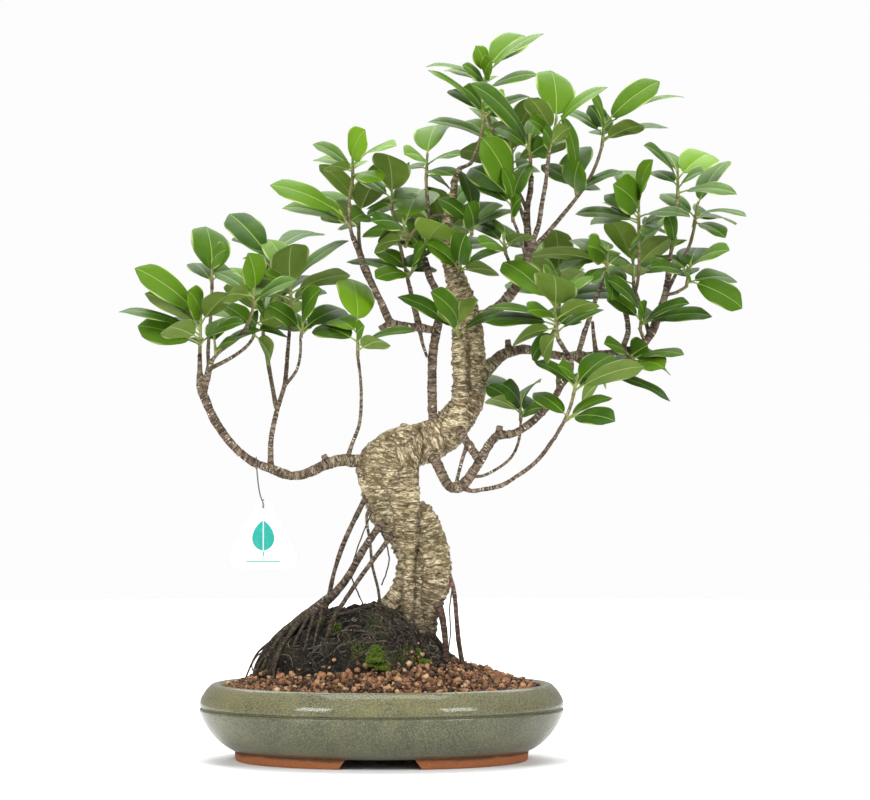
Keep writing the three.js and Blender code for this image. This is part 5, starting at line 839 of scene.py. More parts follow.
def crowded(x, y, size, other):
    ox, oy, other_size = other
    near = abs(ox - x) < CROWD_REACH and abs(oy - y) < CROWD_REACH
    return near and math.hypot(ox - x, oy - y) < CROWD_SHARE * (other_size + size)


def build_gravel(look):
    rng = random.Random(41)
    lumps = [lump(rng, 2) for _ in range(COARSE_SHAPES)]
    pebbles = [lump(rng, 1) for _ in range(FINE_SHAPES)]
    coarse, fine = [], []
    placed = []
    tries = 0
    while len(coarse) < COARSE_GRAINS and tries < COARSE_TRIES:
        tries += 1
        x, y = rng.uniform(-RIM_LENGTH, RIM_LENGTH), rng.uniform(-RIM_WIDTH, RIM_WIDTH)
        size = rng.uniform(5, 8.6) if rng.random() < 0.7 else rng.uniform(8, 10.5)
        if not in_opening(x, y, size * 0.55):
            continue
        over = mound_height(x, y) - gravel_height(x, y)
        if over > COARSE_CLIMB or (over > 0 and rng.random() < over / COARSE_CLIMB):
            continue
        if any(crowded(x, y, size, other) for other in placed):
            continue
        placed.append((x, y, size))
        coarse.append((x, y, ground_height(x, y) + rng.uniform(-0.12, 0.25) * size, size, grain_tint(rng)))
    while len(fine) < FINE_GRAINS:
        x, y = rng.uniform(-RIM_LENGTH, RIM_LENGTH), rng.uniform(-RIM_WIDTH, RIM_WIDTH)
        size = rng.uniform(2.2, 4.8)
        over = mound_height(x, y) - gravel_height(x, y)
        if not in_opening(x, y, 2.2) or over > FINE_CLIMB or (over > 0 and rng.random() < over / FINE_CLIMB):
            continue
        fine.append((x, y, ground_height(x, y) + rng.uniform(-0.2, 0.55) * size, size, grain_tint(rng)))
    scatter("gravel_coarse", look, "gravel", coarse, lumps, 5)
    scatter("gravel_fine", look, "gravel", fine, pebbles, 6)


# ---------------------------------------------------------------- wood

TRUNK = [
    TRUNK_LOWER, TRUNK_UPPER, TRUNK_BULGE, TRUNK_FRONT_ROOT, TRUNK_FRONT_STEM, TRUNK_FLARE, TRUNK_WEB,
    TRUNK_HUMP,
]
# Folds in the front of the trunk, as x and z, with how deep each is, which also sets how much painted shade
# darkens the bark in them.
FOLDS = [
    ([(33, 263), (36, 272), (38, 282), (37, 291), (34, 300)], 1.3),
    ([(32, 104), (29, 126), (31, 150), (30, 172), (33, 195), (32, 214), (35, 234)], 1.0),
    ([(19, 106), (18, 135), (20, 165), (21, 200)], 0.5),
    ([(78, 292), (80, 320), (79, 350), (81, 385)], 0.7),
    ([(62, 318), (60, 350), (61, 380), (58, 410)], 0.5),
    ([(8, 226), (14, 222), (20, 216)], 0.7),
]

FOLDS_END_Y = 2  # the folds are on the front of the trunk only
LIMB_SIDES, LIMB_STEPS = 24, 8
NEAREST_TRIED = 7  # limb points tried for each point of the bark


def bark_relief(spot, ridge, crumple, knob):
    """Ridges round the limb, broken and crumpled, and slow swellings. Spot is in millimetres."""
    along, right, deep = spot
    bend = 2.6 * noise.noise(Vector((along / 26, right / 15, deep / 15)))
    rings = noise.noise(Vector(((along + bend) / 2.6, right / 13, deep / 13)))
    broken = noise.noise(Vector((along / 5.2 + 31, right / 4.6, deep / 4.6)))
    slow = noise.noise(Vector((along / 21 + 77, right / 15, deep / 15)))
    return ridge * (rings + 0.45 * abs(rings)) + crumple * broken + knob * slow


def fold_depth(x, y, z):
    """How deep a fold is at a point of the trunk, in millimetres, and how much painted shade darkens the bark
    there.
    """
    depth, dark = 0.0, 0.0
    if y > FOLDS_END_Y:
        return depth, dark
    wander = 1.6 * noise.noise(Vector((x / 6, 0, z / 5)))
    for line, deep in FOLDS:
        for (ax, az), (bx, bz) in zip(line, line[1:]):
            run, rise = bx - ax, bz - az
            t = ((x - ax) * run + (z - az) * rise) / (run * run + rise * rise)
            t = min(max(t, 0), 1)
            off = math.hypot(x - ax - t * run, z - az - t * rise) + wander
            depth = max(depth, deep * math.exp(-(off / 1.9) ** 2))
            dark = max(dark, deep * math.exp(-(off / 1.3) ** 2) / 1.7)
    return depth, dark


def build_wood(node, name, paths, look, voxel, ridge, crumple, knob, swell):
    """Lofts the paths, melts them into one skin and gives it the relief of bark. The voxel and the
    depths of the relief are in millimetres, and swell is a share of the limb's radius."""
    rows = []
    for path in paths:
        curve = smooth_curve(path, LIMB_STEPS)
        beat = np.array([noise.noise(Vector((i * 0.31, len(path) * 1.7, 0))) for i in range(len(curve))])
        curve[:, 3] *= 1 + swell * beat
        rows.append(curve)
    piece = add_mesh(name, *gather(placed_tube(curve, LIMB_SIDES) for curve in rows), look)
    outward(piece)
    melt = piece.modifiers.new("melt", "REMESH")
    melt.mode = "VOXEL"
    melt.voxel_size = voxel * MM
    melt.use_smooth_shade = True
    ease = piece.modifiers.new("ease", "SMOOTH")
    ease.iterations = 6
    ease.factor = 0.6
    bake_modifiers(piece)
    # Each point of the skin gets its place along and about the nearest limb's middle.
    samples = []
    is_trunk = node == "trunk"
    for number, curve in enumerate(rows):
        run = 0.0
        from_trunk = number == 0 and not is_trunk
        for i, row in enumerate(curve):
            ahead = curve[min(i + 1, len(curve) - 1)] - curve[max(i - 1, 0)]
            run += np.linalg.norm(row[:3] - curve[max(i - 1, 0)][:3])
            samples.append((run, Vector(row[:3]), Vector(ahead[:3]).normalized(), float(row[3]), from_trunk))
    tree = kdtree.KDTree(len(samples))
    for i, sample in enumerate(samples):
        tree.insert(place(*sample[1]), i)
    tree.balance()
    mesh = piece.data
    mesh.update()
    spots, moved, girths, fold_shades = [], [], [], []
    for vertex in mesh.vertices:
        best, best_gap = None, 1e9
        for _, index, far in tree.find_n(vertex.co, NEAREST_TRIED):
            gap = far - samples[index][3] * MM
            if gap < best_gap:
                best, best_gap = index, gap
        run, centre, ahead, radius, from_trunk = samples[best]
        offset = (vertex.co - place(*centre)) / MM
        step = offset.dot(ahead)
        across = offset - ahead * step
        side = ahead.cross(Vector((0, -1, 0.1))).normalized()
        other = ahead.cross(side)
        spots.append((run + step, across.dot(side), across.dot(other)))
        height = bark_relief(spots[-1], ridge, crumple, knob)
        # How much painted shade darkens the bark here, in a fold of the trunk.
        dark = 0.0
        if is_trunk:
            x, y, z = (vertex.co - place(0, 0, 0)) / MM
            fold, dark = fold_depth(x, y, z)
            height -= fold
        near_trunk = max(0, 1 - run / 22) if from_trunk else 0
        girths.append(10 if is_trunk else max(radius, 8 * near_trunk))
        fold_shades.append(dark)
        moved.append(vertex.co + vertex.normal * height * MM * min(1, radius / 5))
    for vertex, co in zip(mesh.vertices, moved):
        vertex.co = co
    for layer, values in (("spot", spots), ("girth", girths), ("fold", fold_shades)):
        set_attribute(piece, layer, values)
    mesh.update()
    mesh.shade_smooth()
    stand_for(piece, "bark", node)


def bark_look(name, thin, thick, speck, algae, speck_amount):
    """Bark with ridges and pale lenticels that run round the limb. Thin and thick limbs each
    have a deep, a middle and a pale colour."""
    look = Look(name, Specular_IOR_Level=0.22)
    spot = look.attribute("spot", "Vector")
    girth = look.plus(look.attribute("girth"), look.times(look.noise(90, 3), 3.0))
    girth = look.ramp(look.times(girth, 0.1), (0.6, 0), (0.95, 1))
    deep, body, pale = (look.mix(girth, a, b) for a, b in zip(thin, thick))

    def round_limb(along, across, shift=0.0):
        made = look.node("ShaderNodeMapping", {"Vector": spot})
        made.inputs["Scale"].default_value = (along, across, across)
        made.inputs["Location"].default_value = (shift, shift, shift)
        return made.outputs["Vector"]

    bands = look.noise(1, 4, 0.66, round_limb(0.4, 0.1), 0.9)
    fine = look.noise(1, 3, 0.6, round_limb(1.2, 0.34, 4.0), 0.4)
    slow = look.noise(1, 3, 0.5, round_limb(0.035, 0.05, 9.0))
    grain = look.noise(1, 3, 0.7, round_limb(2.2, 1.7, 2.0))
    colour = look.mix(look.ramp(bands, (0.36, 0), (0.56, 1)), deep, body)
    colour = look.mix(look.ramp(slow, (0.38, 0.55), (0.56, 0)), colour, deep)
    high = look.ramp(bands, (0.49, 0), (0.62, 1))
    colour = look.mix(look.times(high, look.ramp(fine, (0.36, 0.2), (0.54, 1))), colour, pale)
    dashes = look.cells(1, vector=round_limb(0.34, 0.16, 1.0))
    dashes = look.ramp(look.plus(dashes, look.times(grain, 0.4)), (0.34, 1), (0.46, 0))
    groups = look.noise(1, 2, 0.5, round_limb(0.11, 0.14, 6.0))
    dashes = look.times(dashes, look.ramp(groups, (0.42, 0), (0.56, 1)))
    colour = look.mix(look.times(dashes, speck_amount), colour, speck)
    cracks = look.ramp(look.noise(1, 4, 0.7, round_limb(0.8, 0.2, 13.0), 0.6), (0.36, 1), (0.45, 0))
    colour = look.mix(look.times(cracks, 0.85), colour, tuple(0.3 * c for c in thin[0]))
    colour = look.mix(look.times(look.ramp(grain, (0.5, 0), (0.75, 1)), 0.4), colour, pale)
    if algae:
        film = look.ramp(look.noise(26, 4, 0.6), (0.5, 0), (0.68, 1))
        film = look.times(film, look.ramp(fine, (0.35, 0.3), (0.6, 1)))
        colour = look.mix(look.times(film, algae), colour, (0.10, 0.115, 0.03))
    # Darker towards the bottom of the wood, below about 0.14 to 0.19 m, with a noisy edge.
    height = look.height()
    height = look.plus(height, look.times(look.noise(45, 4, 0.6), 0.05))
    low_darkening = look.ramp(look.times(height, 4), (0.57, 0.9), (0.76, 0))
    low_darkening = look.times(low_darkening, look.ramp(fine, (0.35, 1), (0.7, 0.55)))
    colour = look.mix(low_darkening, colour, (0.034, 0.025, 0.016))
    # Painted shade in the trunk's folds, from the fold attribute.
    fold = look.ramp(look.attribute("fold"), (0.12, 0), (0.8, 0.85))
    colour = look.mix(fold, colour, (0.035, 0.025, 0.015))
    look.colour(colour)
    look.rough(fine, 0.66, 0.92)
    look.bump((bands, 1.3), (fine, 0.6), (dashes, 0.35), (cracks, -0.7))
    return look.material


def build_all_wood():
    thick = ((0.088, 0.058, 0.028), (0.35, 0.262, 0.138), (0.78, 0.67, 0.44))
    damp_thick = ((0.05, 0.035, 0.022), (0.19, 0.145, 0.09), (0.46, 0.39, 0.27))
    brown = ((0.05, 0.032, 0.022), (0.17, 0.115, 0.078), (0.36, 0.285, 0.21))
    bark = bark_look("fig_bark", brown, thick, (0.90, 0.84, 0.68), 0.35, 1.0)
    red = bark_look(
        "red_root_bark", ((0.05, 0.022, 0.018), (0.16, 0.075, 0.06), (0.31, 0.18, 0.14)), thick,
        (0.60, 0.50, 0.43), 0, 0.7,
    )
    dark = bark_look(
        "dark_root_bark", ((0.022, 0.015, 0.011), (0.09, 0.062, 0.042), (0.25, 0.19, 0.135)), damp_thick,
        (0.58, 0.52, 0.42), 0.1, 0.75,
    )
    build_wood(
        "trunk", "trunk_bark_skin", TRUNK, bark, voxel=1.05, ridge=1.35, crumple=0.95, knob=1.5, swell=0.05,
    )
    build_wood(
        "second_stem", "second_stem_bark", [SECOND_STEM], bark, voxel=0.6, ridge=0.45, crumple=0.25,
        knob=0.4, swell=0.08,
    )
    limbs = {
        "branch_left": BRANCH_LEFT, "branch_upper_left": BRANCH_UPPER_LEFT, "limb_right_low": LIMB_RIGHT_LOW,
        "branch_right_back": BRANCH_RIGHT_BACK, "branch_top": BRANCH_TOP,
    }
    for node, paths in limbs.items():
        build_wood(
            node, node + "_bark", paths, bark, voxel=0.6, ridge=0.45, crumple=0.3, knob=0.5, swell=0.12,
        )
    for node, paths in AERIAL_ROOTS.items():
        look = red if "right" in node else dark
        build_wood(
            node, node + "_bark", paths, look, voxel=0.55, ridge=0.3, crumple=0.3, knob=0.4, swell=0.12,
        )


# ---------------------------------------------------------------- leaves

LEAF_LENGTH, LEAF_WIDTH = 56, 29
DRAWN_LEAF_WIDTH = 24
LEAF_ARCH = 0.09
STALK_SHARE = 0.16
STEM_RADIUS = 1.7
GOLDEN_TURN = 137.5
BACK_RISE = Vector((0, 12, 30))
FILL_LEAVES = [(18, 26, 0.2, 46), (88, 12, 0.35, 50), (162, 32, 0.5, 44)]
FILL_SWAY = 17
SWINGS = [0, 4, -4, 8, -8, 12, -12, 16, -16, 21, -21, 26, -26, 32, -32, 40, -40, 48, -48]
YOUNG_SPRAYS = {"spray_second_stem": 0.75, "spray_upper_left": 0.45, "spray_top": 0.35, "spray_inner": 0.25}


def face_normal(along, show):
    front = Vector((0, -1, 0))
    front = (front - along * front.dot(along)).normalized()
    across = front.cross(along)
    if across.z < 0:
        across = -across
    return front * show + across * math.sqrt(1 - show * show)


def tuft_leaves(tuft):
    """Each leaf is its base, its tip, how it shows its face, its width and its age from 0 to 1."""
    start, rise = Vector(tuft[0]), Vector(tuft[1])
    count = len(tuft[2])
    for index, row in enumerate(tuft[2]):
        right, up, side, show, width, length = (*row, *(DRAWN_LEAF_WIDTH, LEAF_LENGTH)[len(row) - 4:])
        base = start + rise * (0.12 + 0.88 * (index + 0.5) / count)
        reach = Vector((right, 0, up)) + start - base
        reach.y = 0
        reach.y = side * math.sqrt(max(length ** 2 - reach.length_squared, 9))
        yield base, base + reach, show, width * LEAF_WIDTH / DRAWN_LEAF_WIDTH, index / count


def turned_leaf(base, turn, lift, length, width, age):
    angle, rise = math.radians(turn), math.radians(lift)
    out = Vector((math.cos(angle) * math.cos(rise), math.sin(angle) * math.cos(rise), math.sin(rise)))
    show = math.copysign(0.35 + 0.6 * abs(math.sin(angle)), math.sin(angle))
    return base, base + out * length, show, width, age


def fill_leaves(tuft, index):
    start, rise = Vector(tuft[0]), Vector(tuft[1])
    sway = FILL_SWAY * (index % 3 - 1)
    for turn, lift, share, length in FILL_LEAVES:
        width = LEAF_WIDTH * length / LEAF_LENGTH
        yield turned_leaf(start + rise * share, turn + sway, lift, length, width, 0)


def back_leaves(spray):
    start = Vector(spray["path"][-1])
    count = spray["count"]
    for i in range(count):
        base = start + BACK_RISE * (0.1 + 0.85 * i / count)
        turn = spray["turn"] + i * GOLDEN_TURN
        yield turned_leaf(base, turn, 8 + 50 * i / count, LEAF_LENGTH, LEAF_WIDTH, i / count)


ACROSS = [-1, -0.86, -0.62, -0.34, -0.1, 0, 0.1, 0.34, 0.62, 0.86, 1]
STATIONS = 20


def blade_half(u, fullness):
    """Half the blade's width along it, as a share of its widest: an ellipse drawn out to a point."""
    body = (4 * u * (1 - u)) ** (0.52 + 0.12 * fullness) if 0 < u < 1 else 0
    lean = 1 + 0.3 * (u - 0.5)
    point = 1 - 0.42 * max(0, (u - 0.86) / 0.14) ** 0.8
    return body * lean * point


def leaf_mesh(base, tip, show, width, rng):
    """A folded, arched blade with a raised rib beneath, and its stalk. Millimetres."""
    reach = tip - base
    length = reach.length
    normal = face_normal(reach.normalized(), show)
    side = reach.cross(normal).normalized()
    fold = rng.uniform(0.12, 0.34)
    droop = rng.uniform(0.3, 1.2)
    wave = rng.uniform(0.2, 0.9)
    phase = rng.uniform(0, 6.3)
    twist = rng.uniform(-0.16, 0.16)
    fullness = rng.uniform(0, 1)
    vertices, blade = [], []

    def centre(share):
        lifted = LEAF_ARCH * length * 4 * share * (1 - share)
        return base + reach * share + normal * (lifted - droop * max(0, share - 0.8) ** 2 * length * 0.5)

    for upper in (1, 0):
        for i in range(STATIONS + 1):
            u = i / STATIONS
            share = STALK_SHARE + (1 - STALK_SHARE) * u
            middle = centre(share)
            half = max(blade_half(u, fullness) * width / 2, 0.35 if u < 0.5 else 0.05)
            turn = twist * (u - 0.3)
            right = side * math.cos(turn) + normal * math.sin(turn)
            up = normal * math.cos(turn) - side * math.sin(turn)
            for s in ACROSS:
                edge = abs(s)
                lift = half * (fold * edge - 0.2 * edge * edge)
                ripple = wave * edge ** 3 * math.sin(phase + 9 * u + (1.9 if s > 0 else 0)) * half / 12
                rib = math.exp(-(s * half / 0.75) ** 2)
                groove = -0.25 * math.exp(-(s * half / 0.55) ** 2) * (1 - u)
                if upper:
                    skin = 0.16 * (1 - edge ** 4) + groove
                else:
                    skin = -0.16 * (1 - edge ** 4) - rib * (0.75 * (1 - u) + 0.12)
                vertices.append(middle + right * (s * half) + up * (lift + ripple + skin))
                blade.append((u, s * half, float(upper)))
    columns = len(ACROSS)
    sheet = (STATIONS + 1) * columns
    faces = grid_faces(STATIONS + 1, columns, False)
    faces += [tuple(sheet + i for i in reversed(face)) for face in grid_faces(STATIONS + 1, columns, False)]
    for i in range(STATIONS):
        for column, flip in ((0, True), (columns - 1, False)):
            a, b = i * columns + column, (i + 1) * columns + column
            faces.append((a, b, b + sheet, a + sheet) if flip else (a, a + sheet, b + sheet, b))
    for row, flip in ((0, False), (STATIONS, True)):
        for column in range(columns - 1):
            a = row * columns + column
            face = (a, a + 1, a + 1 + sheet, a + sheet)
            faces.append(tuple(reversed(face)) if flip else face)
    stalk_rows = []
    for i in range(7):
        t = i / 6 * (STALK_SHARE + 0.03)
        point = centre(t)
        stalk_rows.append((*point, 0.85 + 0.35 * (1 - i / 6) ** 3 - 0.2 * i / 6))
    stalk, stalk_faces = tube(np.array(stalk_rows), 8)
    start = len(vertices)
    vertices += stalk
    blade += [(0.0, 0.0, 2.0)] * len(stalk)
    faces += [tuple(start + i for i in face) for face in stalk_faces]
    return vertices, faces, blade


def stem_rows(points, thick, thin):
    rows = [(*p, thick + (thin - thick) * i / (len(points) - 1)) for i, p in enumerate(points)]
    curve = smooth_curve(rows, 6)
    for i, row in enumerate(curve):
        row[3] *= 1 + 0.13 * math.sin(i * 1.9) ** 2 * (i % 6 < 2)
    return curve


def leafy_stem(at, rise):
    start, rise = Vector(at), Vector(rise)
    end = start + rise
    step = rise.normalized()
    rows = [
        (*start, STEM_RADIUS), (*(start + rise * 0.5), STEM_RADIUS * 0.85), (*end, STEM_RADIUS * 0.62),
        (*(end + step * 2.2), STEM_RADIUS * 0.75), (*(end + step * 4.8), STEM_RADIUS * 0.45),
        (*(end + step * 7), 0.12),
    ]
    return smooth_curve(rows, 5)


def cad_points(node):
    """A lookup of a CAD node's own corners."""
    mesh = bpy.data.objects[node].data
    tree = kdtree.KDTree(len(mesh.vertices))
    for i, vertex in enumerate(mesh.vertices):
        tree.insert(vertex.co, i)
    tree.balance()
    return tree


def settled(leaf, tree):
    """The leaf as the CAD model turned it on its stalk to clear its neighbours, or None."""
    base, tip, show, width, age = leaf
    best = None
    for swing in SWINGS:
        point = tip + Vector((0, swing, 0))
        gap = tree.find(place(*point))[2]
        if gap < 0.5 * MM and (best is None or gap < best[0]):
            best = (gap, point)
    return None if best is None else (base, best[1], show, width, age)


def build_spray(node, leaves, stems, looks):
    rng = random.Random(node)
    tree = cad_points(node)
    vertices, faces, blade, leaf_facts, materials = [], [], [], [], []
    youth = YOUNG_SPRAYS.get(node, 0)
    for leaf in leaves:
        found = settled(leaf, tree)
        tint, young = rng.random(), 0.0
        if found is None:
            continue
        base, tip, show, width, age = found
        if age > 0.6:
            young = min(1, max(0, rng.gauss(0.25 + youth, 0.25)))
        elif youth:
            young = min(1, max(0, rng.gauss(youth * 0.5, 0.2)))
        points, their_faces, where = leaf_mesh(base, tip, show, width, rng)
        start = len(vertices)
        vertices += [place(*p) for p in points]
        faces += [tuple(start + i for i in face) for face in their_faces]
        blade += where
        leaf_facts += [(tint, young, width / 2)] * len(points)
        materials += [0] * len(their_faces)
    for rows, low, high in stems:
        points, their_faces = tube(rows, 10)
        start = len(vertices)
        vertices += [place(*p) for p in points]
        faces += [tuple(start + i for i in face) for face in their_faces]
        last = len(rows) - 1
        blade += [(low + (high - low) * (i // 10) / last, 0.0, 3.0) for i in range(len(points))]
        leaf_facts += [(0.5, 0.0, 1.0)] * len(points)
        materials += [1] * len(their_faces)
    piece = add_mesh(node + "_leaves", vertices, faces, looks[0])
    piece.data.materials.append(looks[1])
    piece.data.polygons.foreach_set("material_index", materials)
    set_attribute(piece, "blade", blade)
    set_attribute(piece, "leaf", leaf_facts)
    stand_for(piece, "leaf", node)


def build_sprays(looks):
    for node, spray in SPRAYS.items():
        tufts = spray["tufts"] + spray.get("side_tufts", [])
        leaves = [leaf for tuft in tufts for leaf in tuft_leaves(tuft)]
        leaves += [leaf for i, tuft in enumerate(tufts) for leaf in fill_leaves(tuft, i)]
        stems = [(leafy_stem(*tuft[:2]), 0.45, 1.0) for tuft in tufts]
        for path in (spray.get("stem"), spray.get("side")):
            if path:
                stems.append((stem_rows(path, STEM_RADIUS, STEM_RADIUS * 0.85), 0.0, 0.6))
        build_spray(node, leaves, stems, looks)
    for node, spray in BACK_SPRAYS.items():
        path = [spray["at"], *spray["path"]]
        stems = [
            (stem_rows(path, STEM_RADIUS * 1.2, STEM_RADIUS), 0.0, 0.5),
            (leafy_stem(path[-1], BACK_RISE), 0.45, 1.0),
        ]
        build_spray(node, back_leaves(spray), stems, looks)


def leaf_look():
    look = Look("fig_leaf", Specular_IOR_Level=0.16)
    u, across, kind = look.split(look.attribute("blade", "Vector"))
    tint, young, half = look.split(look.attribute("leaf", "Vector"))
    upper = look.math("GREATER_THAN", kind, 0.5)
    stalk = look.math("GREATER_THAN", kind, 1.5)
    off_rib = look.math("ABSOLUTE", across)
    mottle = look.noise(70, 4, 0.6)
    cell = look.noise(900, 2, 0.6)
    top = look.mix(tint, (0.020, 0.070, 0.001), (0.070, 0.165, 0.003))
    top = look.mix(look.ramp(mottle, (0.4, 0), (0.7, 0.45)), top, (0.085, 0.18, 0.006))
    top = look.mix(young, top, (0.17, 0.34, 0.008))
    vein_run = look.node("ShaderNodeCombineXYZ", {
        "X": look.plus(look.times(u, 21), look.times(off_rib, -0.75)),
    })
    waves = {"Vector": vein_run.outputs["Vector"], "Scale": 0.55, "Distortion": 0.4}
    veins = look.ramp(look.node("ShaderNodeTexWave", waves).outputs["Fac"], (0.82, 0), (1.0, 1))
    top = look.mix(look.times(veins, 0.22), top, (0.10, 0.22, 0.02))
    rib_width = look.plus(0.62, look.times(u, -0.32))
    rib = look.math("DIVIDE", off_rib, rib_width)
    rib = look.ramp(rib, (0.5, 1), (1.0, 0))
    top = look.mix(look.times(rib, 0.85), top, (0.33, 0.46, 0.12))
    margin = look.math("DIVIDE", off_rib, half)
    margin = look.ramp(margin, (0.87, 0), (0.96, 1))
    top = look.mix(look.times(margin, 0.85), top, (0.42, 0.52, 0.16))
    under = look.mix(look.ramp(mottle, (0.35, 0), (0.7, 1)), (0.115, 0.19, 0.022), (0.185, 0.27, 0.045))
    under = look.mix(look.times(tint, 0.35), under, (0.09, 0.15, 0.022))
    under = look.mix(look.times(veins, 0.35), under, (0.23, 0.32, 0.08))
    under = look.mix(look.times(rib, 0.9), under, (0.42, 0.50, 0.18))
    under = look.mix(look.times(margin, 0.75), under, (0.46, 0.54, 0.24))
    under = look.mix(look.times(young, 0.5), under, (0.28, 0.42, 0.05))
    colour = look.mix(upper, under, top)
    colour = look.mix(stalk, colour, (0.25, 0.34, 0.07))
    blemish = look.ramp(look.noise(210, 2, 0.5), (0.7, 0), (0.77, 1))
    colour = look.mix(look.times(blemish, 0.3), colour, (0.13, 0.11, 0.03))
    look.colour(colour)
    dullness = look.plus(0.56, look.times(upper, -0.2))
    look.feed(look.shader.inputs["Roughness"], look.plus(dullness, look.times(mottle, 0.14)))
    look.bump((veins, 0.12), (cell, 0.07))
    return look.material


def stem_look():
    look = Look("green_stem", Specular_IOR_Level=0.3)
    along = look.attribute("blade", "Vector")
    patch = look.noise(60, 3, 0.6)
    fleck = look.noise(420, 3, 0.7)
    age = look.plus(look.split(along)[0], look.times(look.math("SUBTRACT", patch, 0.5), 0.7))
    body = look.ramp(
        age, (0.25, (0.10, 0.066, 0.042)), (0.52, (0.19, 0.165, 0.06)), (0.85, (0.25, 0.33, 0.07)),
    )
    body = look.mix(look.ramp(fleck, (0.52, 0), (0.68, 0.85)), body, (0.46, 0.43, 0.29))
    look.colour(body)
    look.rough(fleck, 0.5, 0.75)
    look.bump((fleck, 0.3), (patch, 0.3))
    return look.material


# ---------------------------------------------------------------- fine roots and moss

def slope_root(rng, angle, start, end, radius):
    """A thin root that wanders down the root ball. Start and end are shares of its reach."""
    rows = []
    steps = 13
    drift = rng.uniform(-0.5, 0.5)
    phases = [rng.uniform(0, 6.3) for _ in range(3)]
    for i in range(steps):
        t = i / (steps - 1)
        share = start + (end - start) * t + 0.025 * math.sin(phases[0] + 13 * t)
        turn = angle + drift * t + 0.10 * math.sin(phases[1] + 6 * t) + 0.05 * math.sin(phases[2] + 17 * t)
        x, y = soil_point(turn, share)
        proud = 0.4 * radius + rng.uniform(-0.9, 1.1)
        ground = max(root_ball_surface(x, y), gravel_height(x, y))
        rows.append((x, y, ground + proud, radius * (1 - 0.55 * t)))
    return smooth_curve(rows, 3)


# Thin roots that hang free on the left: each runs from the main root or the trunk to the soil.
FREE_ROOTS = [
    [(-62, -20, 134, 1.9), (-72, -27, 118, 1.6), (-79, -33, 101, 1.4), (-83, -37, 80, 1.2)],
    [(-70, -17, 128, 2.0), (-82, -20, 113, 1.6), (-93, -26, 97, 1.3), (-101, -30, 75, 1.1)],
    [(-80, -11, 121, 2.0), (-94, -10, 106, 1.6), (-107, -12, 90, 1.3), (-119, -14, 68, 1.0)],
    [(-86, -7, 116, 1.6), (-103, 4, 104, 1.2), (-114, 10, 93, 1.0), (-124, 12, 70, 0.8)],
    [(-58, -24, 138, 1.7), (-64, -32, 119, 1.4), (-69, -40, 98, 1.1), (-71, -45, 80, 1.0)],
    [(-52, -26, 142, 1.4), (-55, -34, 126, 1.2), (-60, -42, 104, 1.0), (-58, -49, 82, 0.9)],
    [(-91, -5, 111, 1.1), (-99, -9, 102, 0.8), (-110, -17, 96, 0.6), (-116, -22, 86, 0.5),
     (-113, -26, 80, 0.4)],
    [(-76, -14, 124, 1.3), (-87, -24, 106, 1.0), (-94, -34, 88, 0.8), (-97, -39, 70, 0.7)],
    [(-1, -17, 209, 0.7), (4, -18, 196, 0.6), (7, -18, 182, 0.55), (4, -17, 168, 0.5), (0, -18, 158, 0.4)],
    [(-8, -21, 224, 0.5), (-16, -22, 206, 0.4), (-23, -22, 186, 0.35), (-27, -22, 168, 0.3),
     (-21, -23, 152, 0.3), (-15, -22, 138, 0.3)],
    [(-11, -22, 200, 0.5), (-2, -21, 206, 0.45), (8, -18, 204, 0.4)],
    [(64, -13, 157, 0.6), (61, -17, 136, 0.5), (62, -20, 118, 0.4), (60, -24, 100, 0.35)],
    [(71, -20, 96, 1.2), (74, -25, 84, 1.0), (79, -29, 70, 0.8)],
    [(75, -20, 80, 1.1), (82, -18, 72, 0.9), (90, -16, 66, 0.7)],
    [(59, -26, 84, 1.3), (53, -30, 77, 1.1), (46, -34, 71, 0.8)],
    [(28, -15, 120, 2.2), (33, -22, 106, 1.7), (37, -29, 92, 1.3), (40, -36, 76, 1.0)],
    [(20, -17, 118, 2.0), (16, -26, 112, 1.5), (10, -38, 105, 1.1), (4, -48, 93, 0.8)],
    [(-8, -12, 140, 2.0), (-16, -18, 138, 1.7), (-30, -24, 134, 1.3), (-44, -27, 131, 0.9)],
]


DARK_ROOTS, PALE_ROOTS = 150, 34
FINE_ROOT_SIDES = 7
FINE_ROOT_LEAST = 0.65  # the thinnest that a free root gets, as a radius


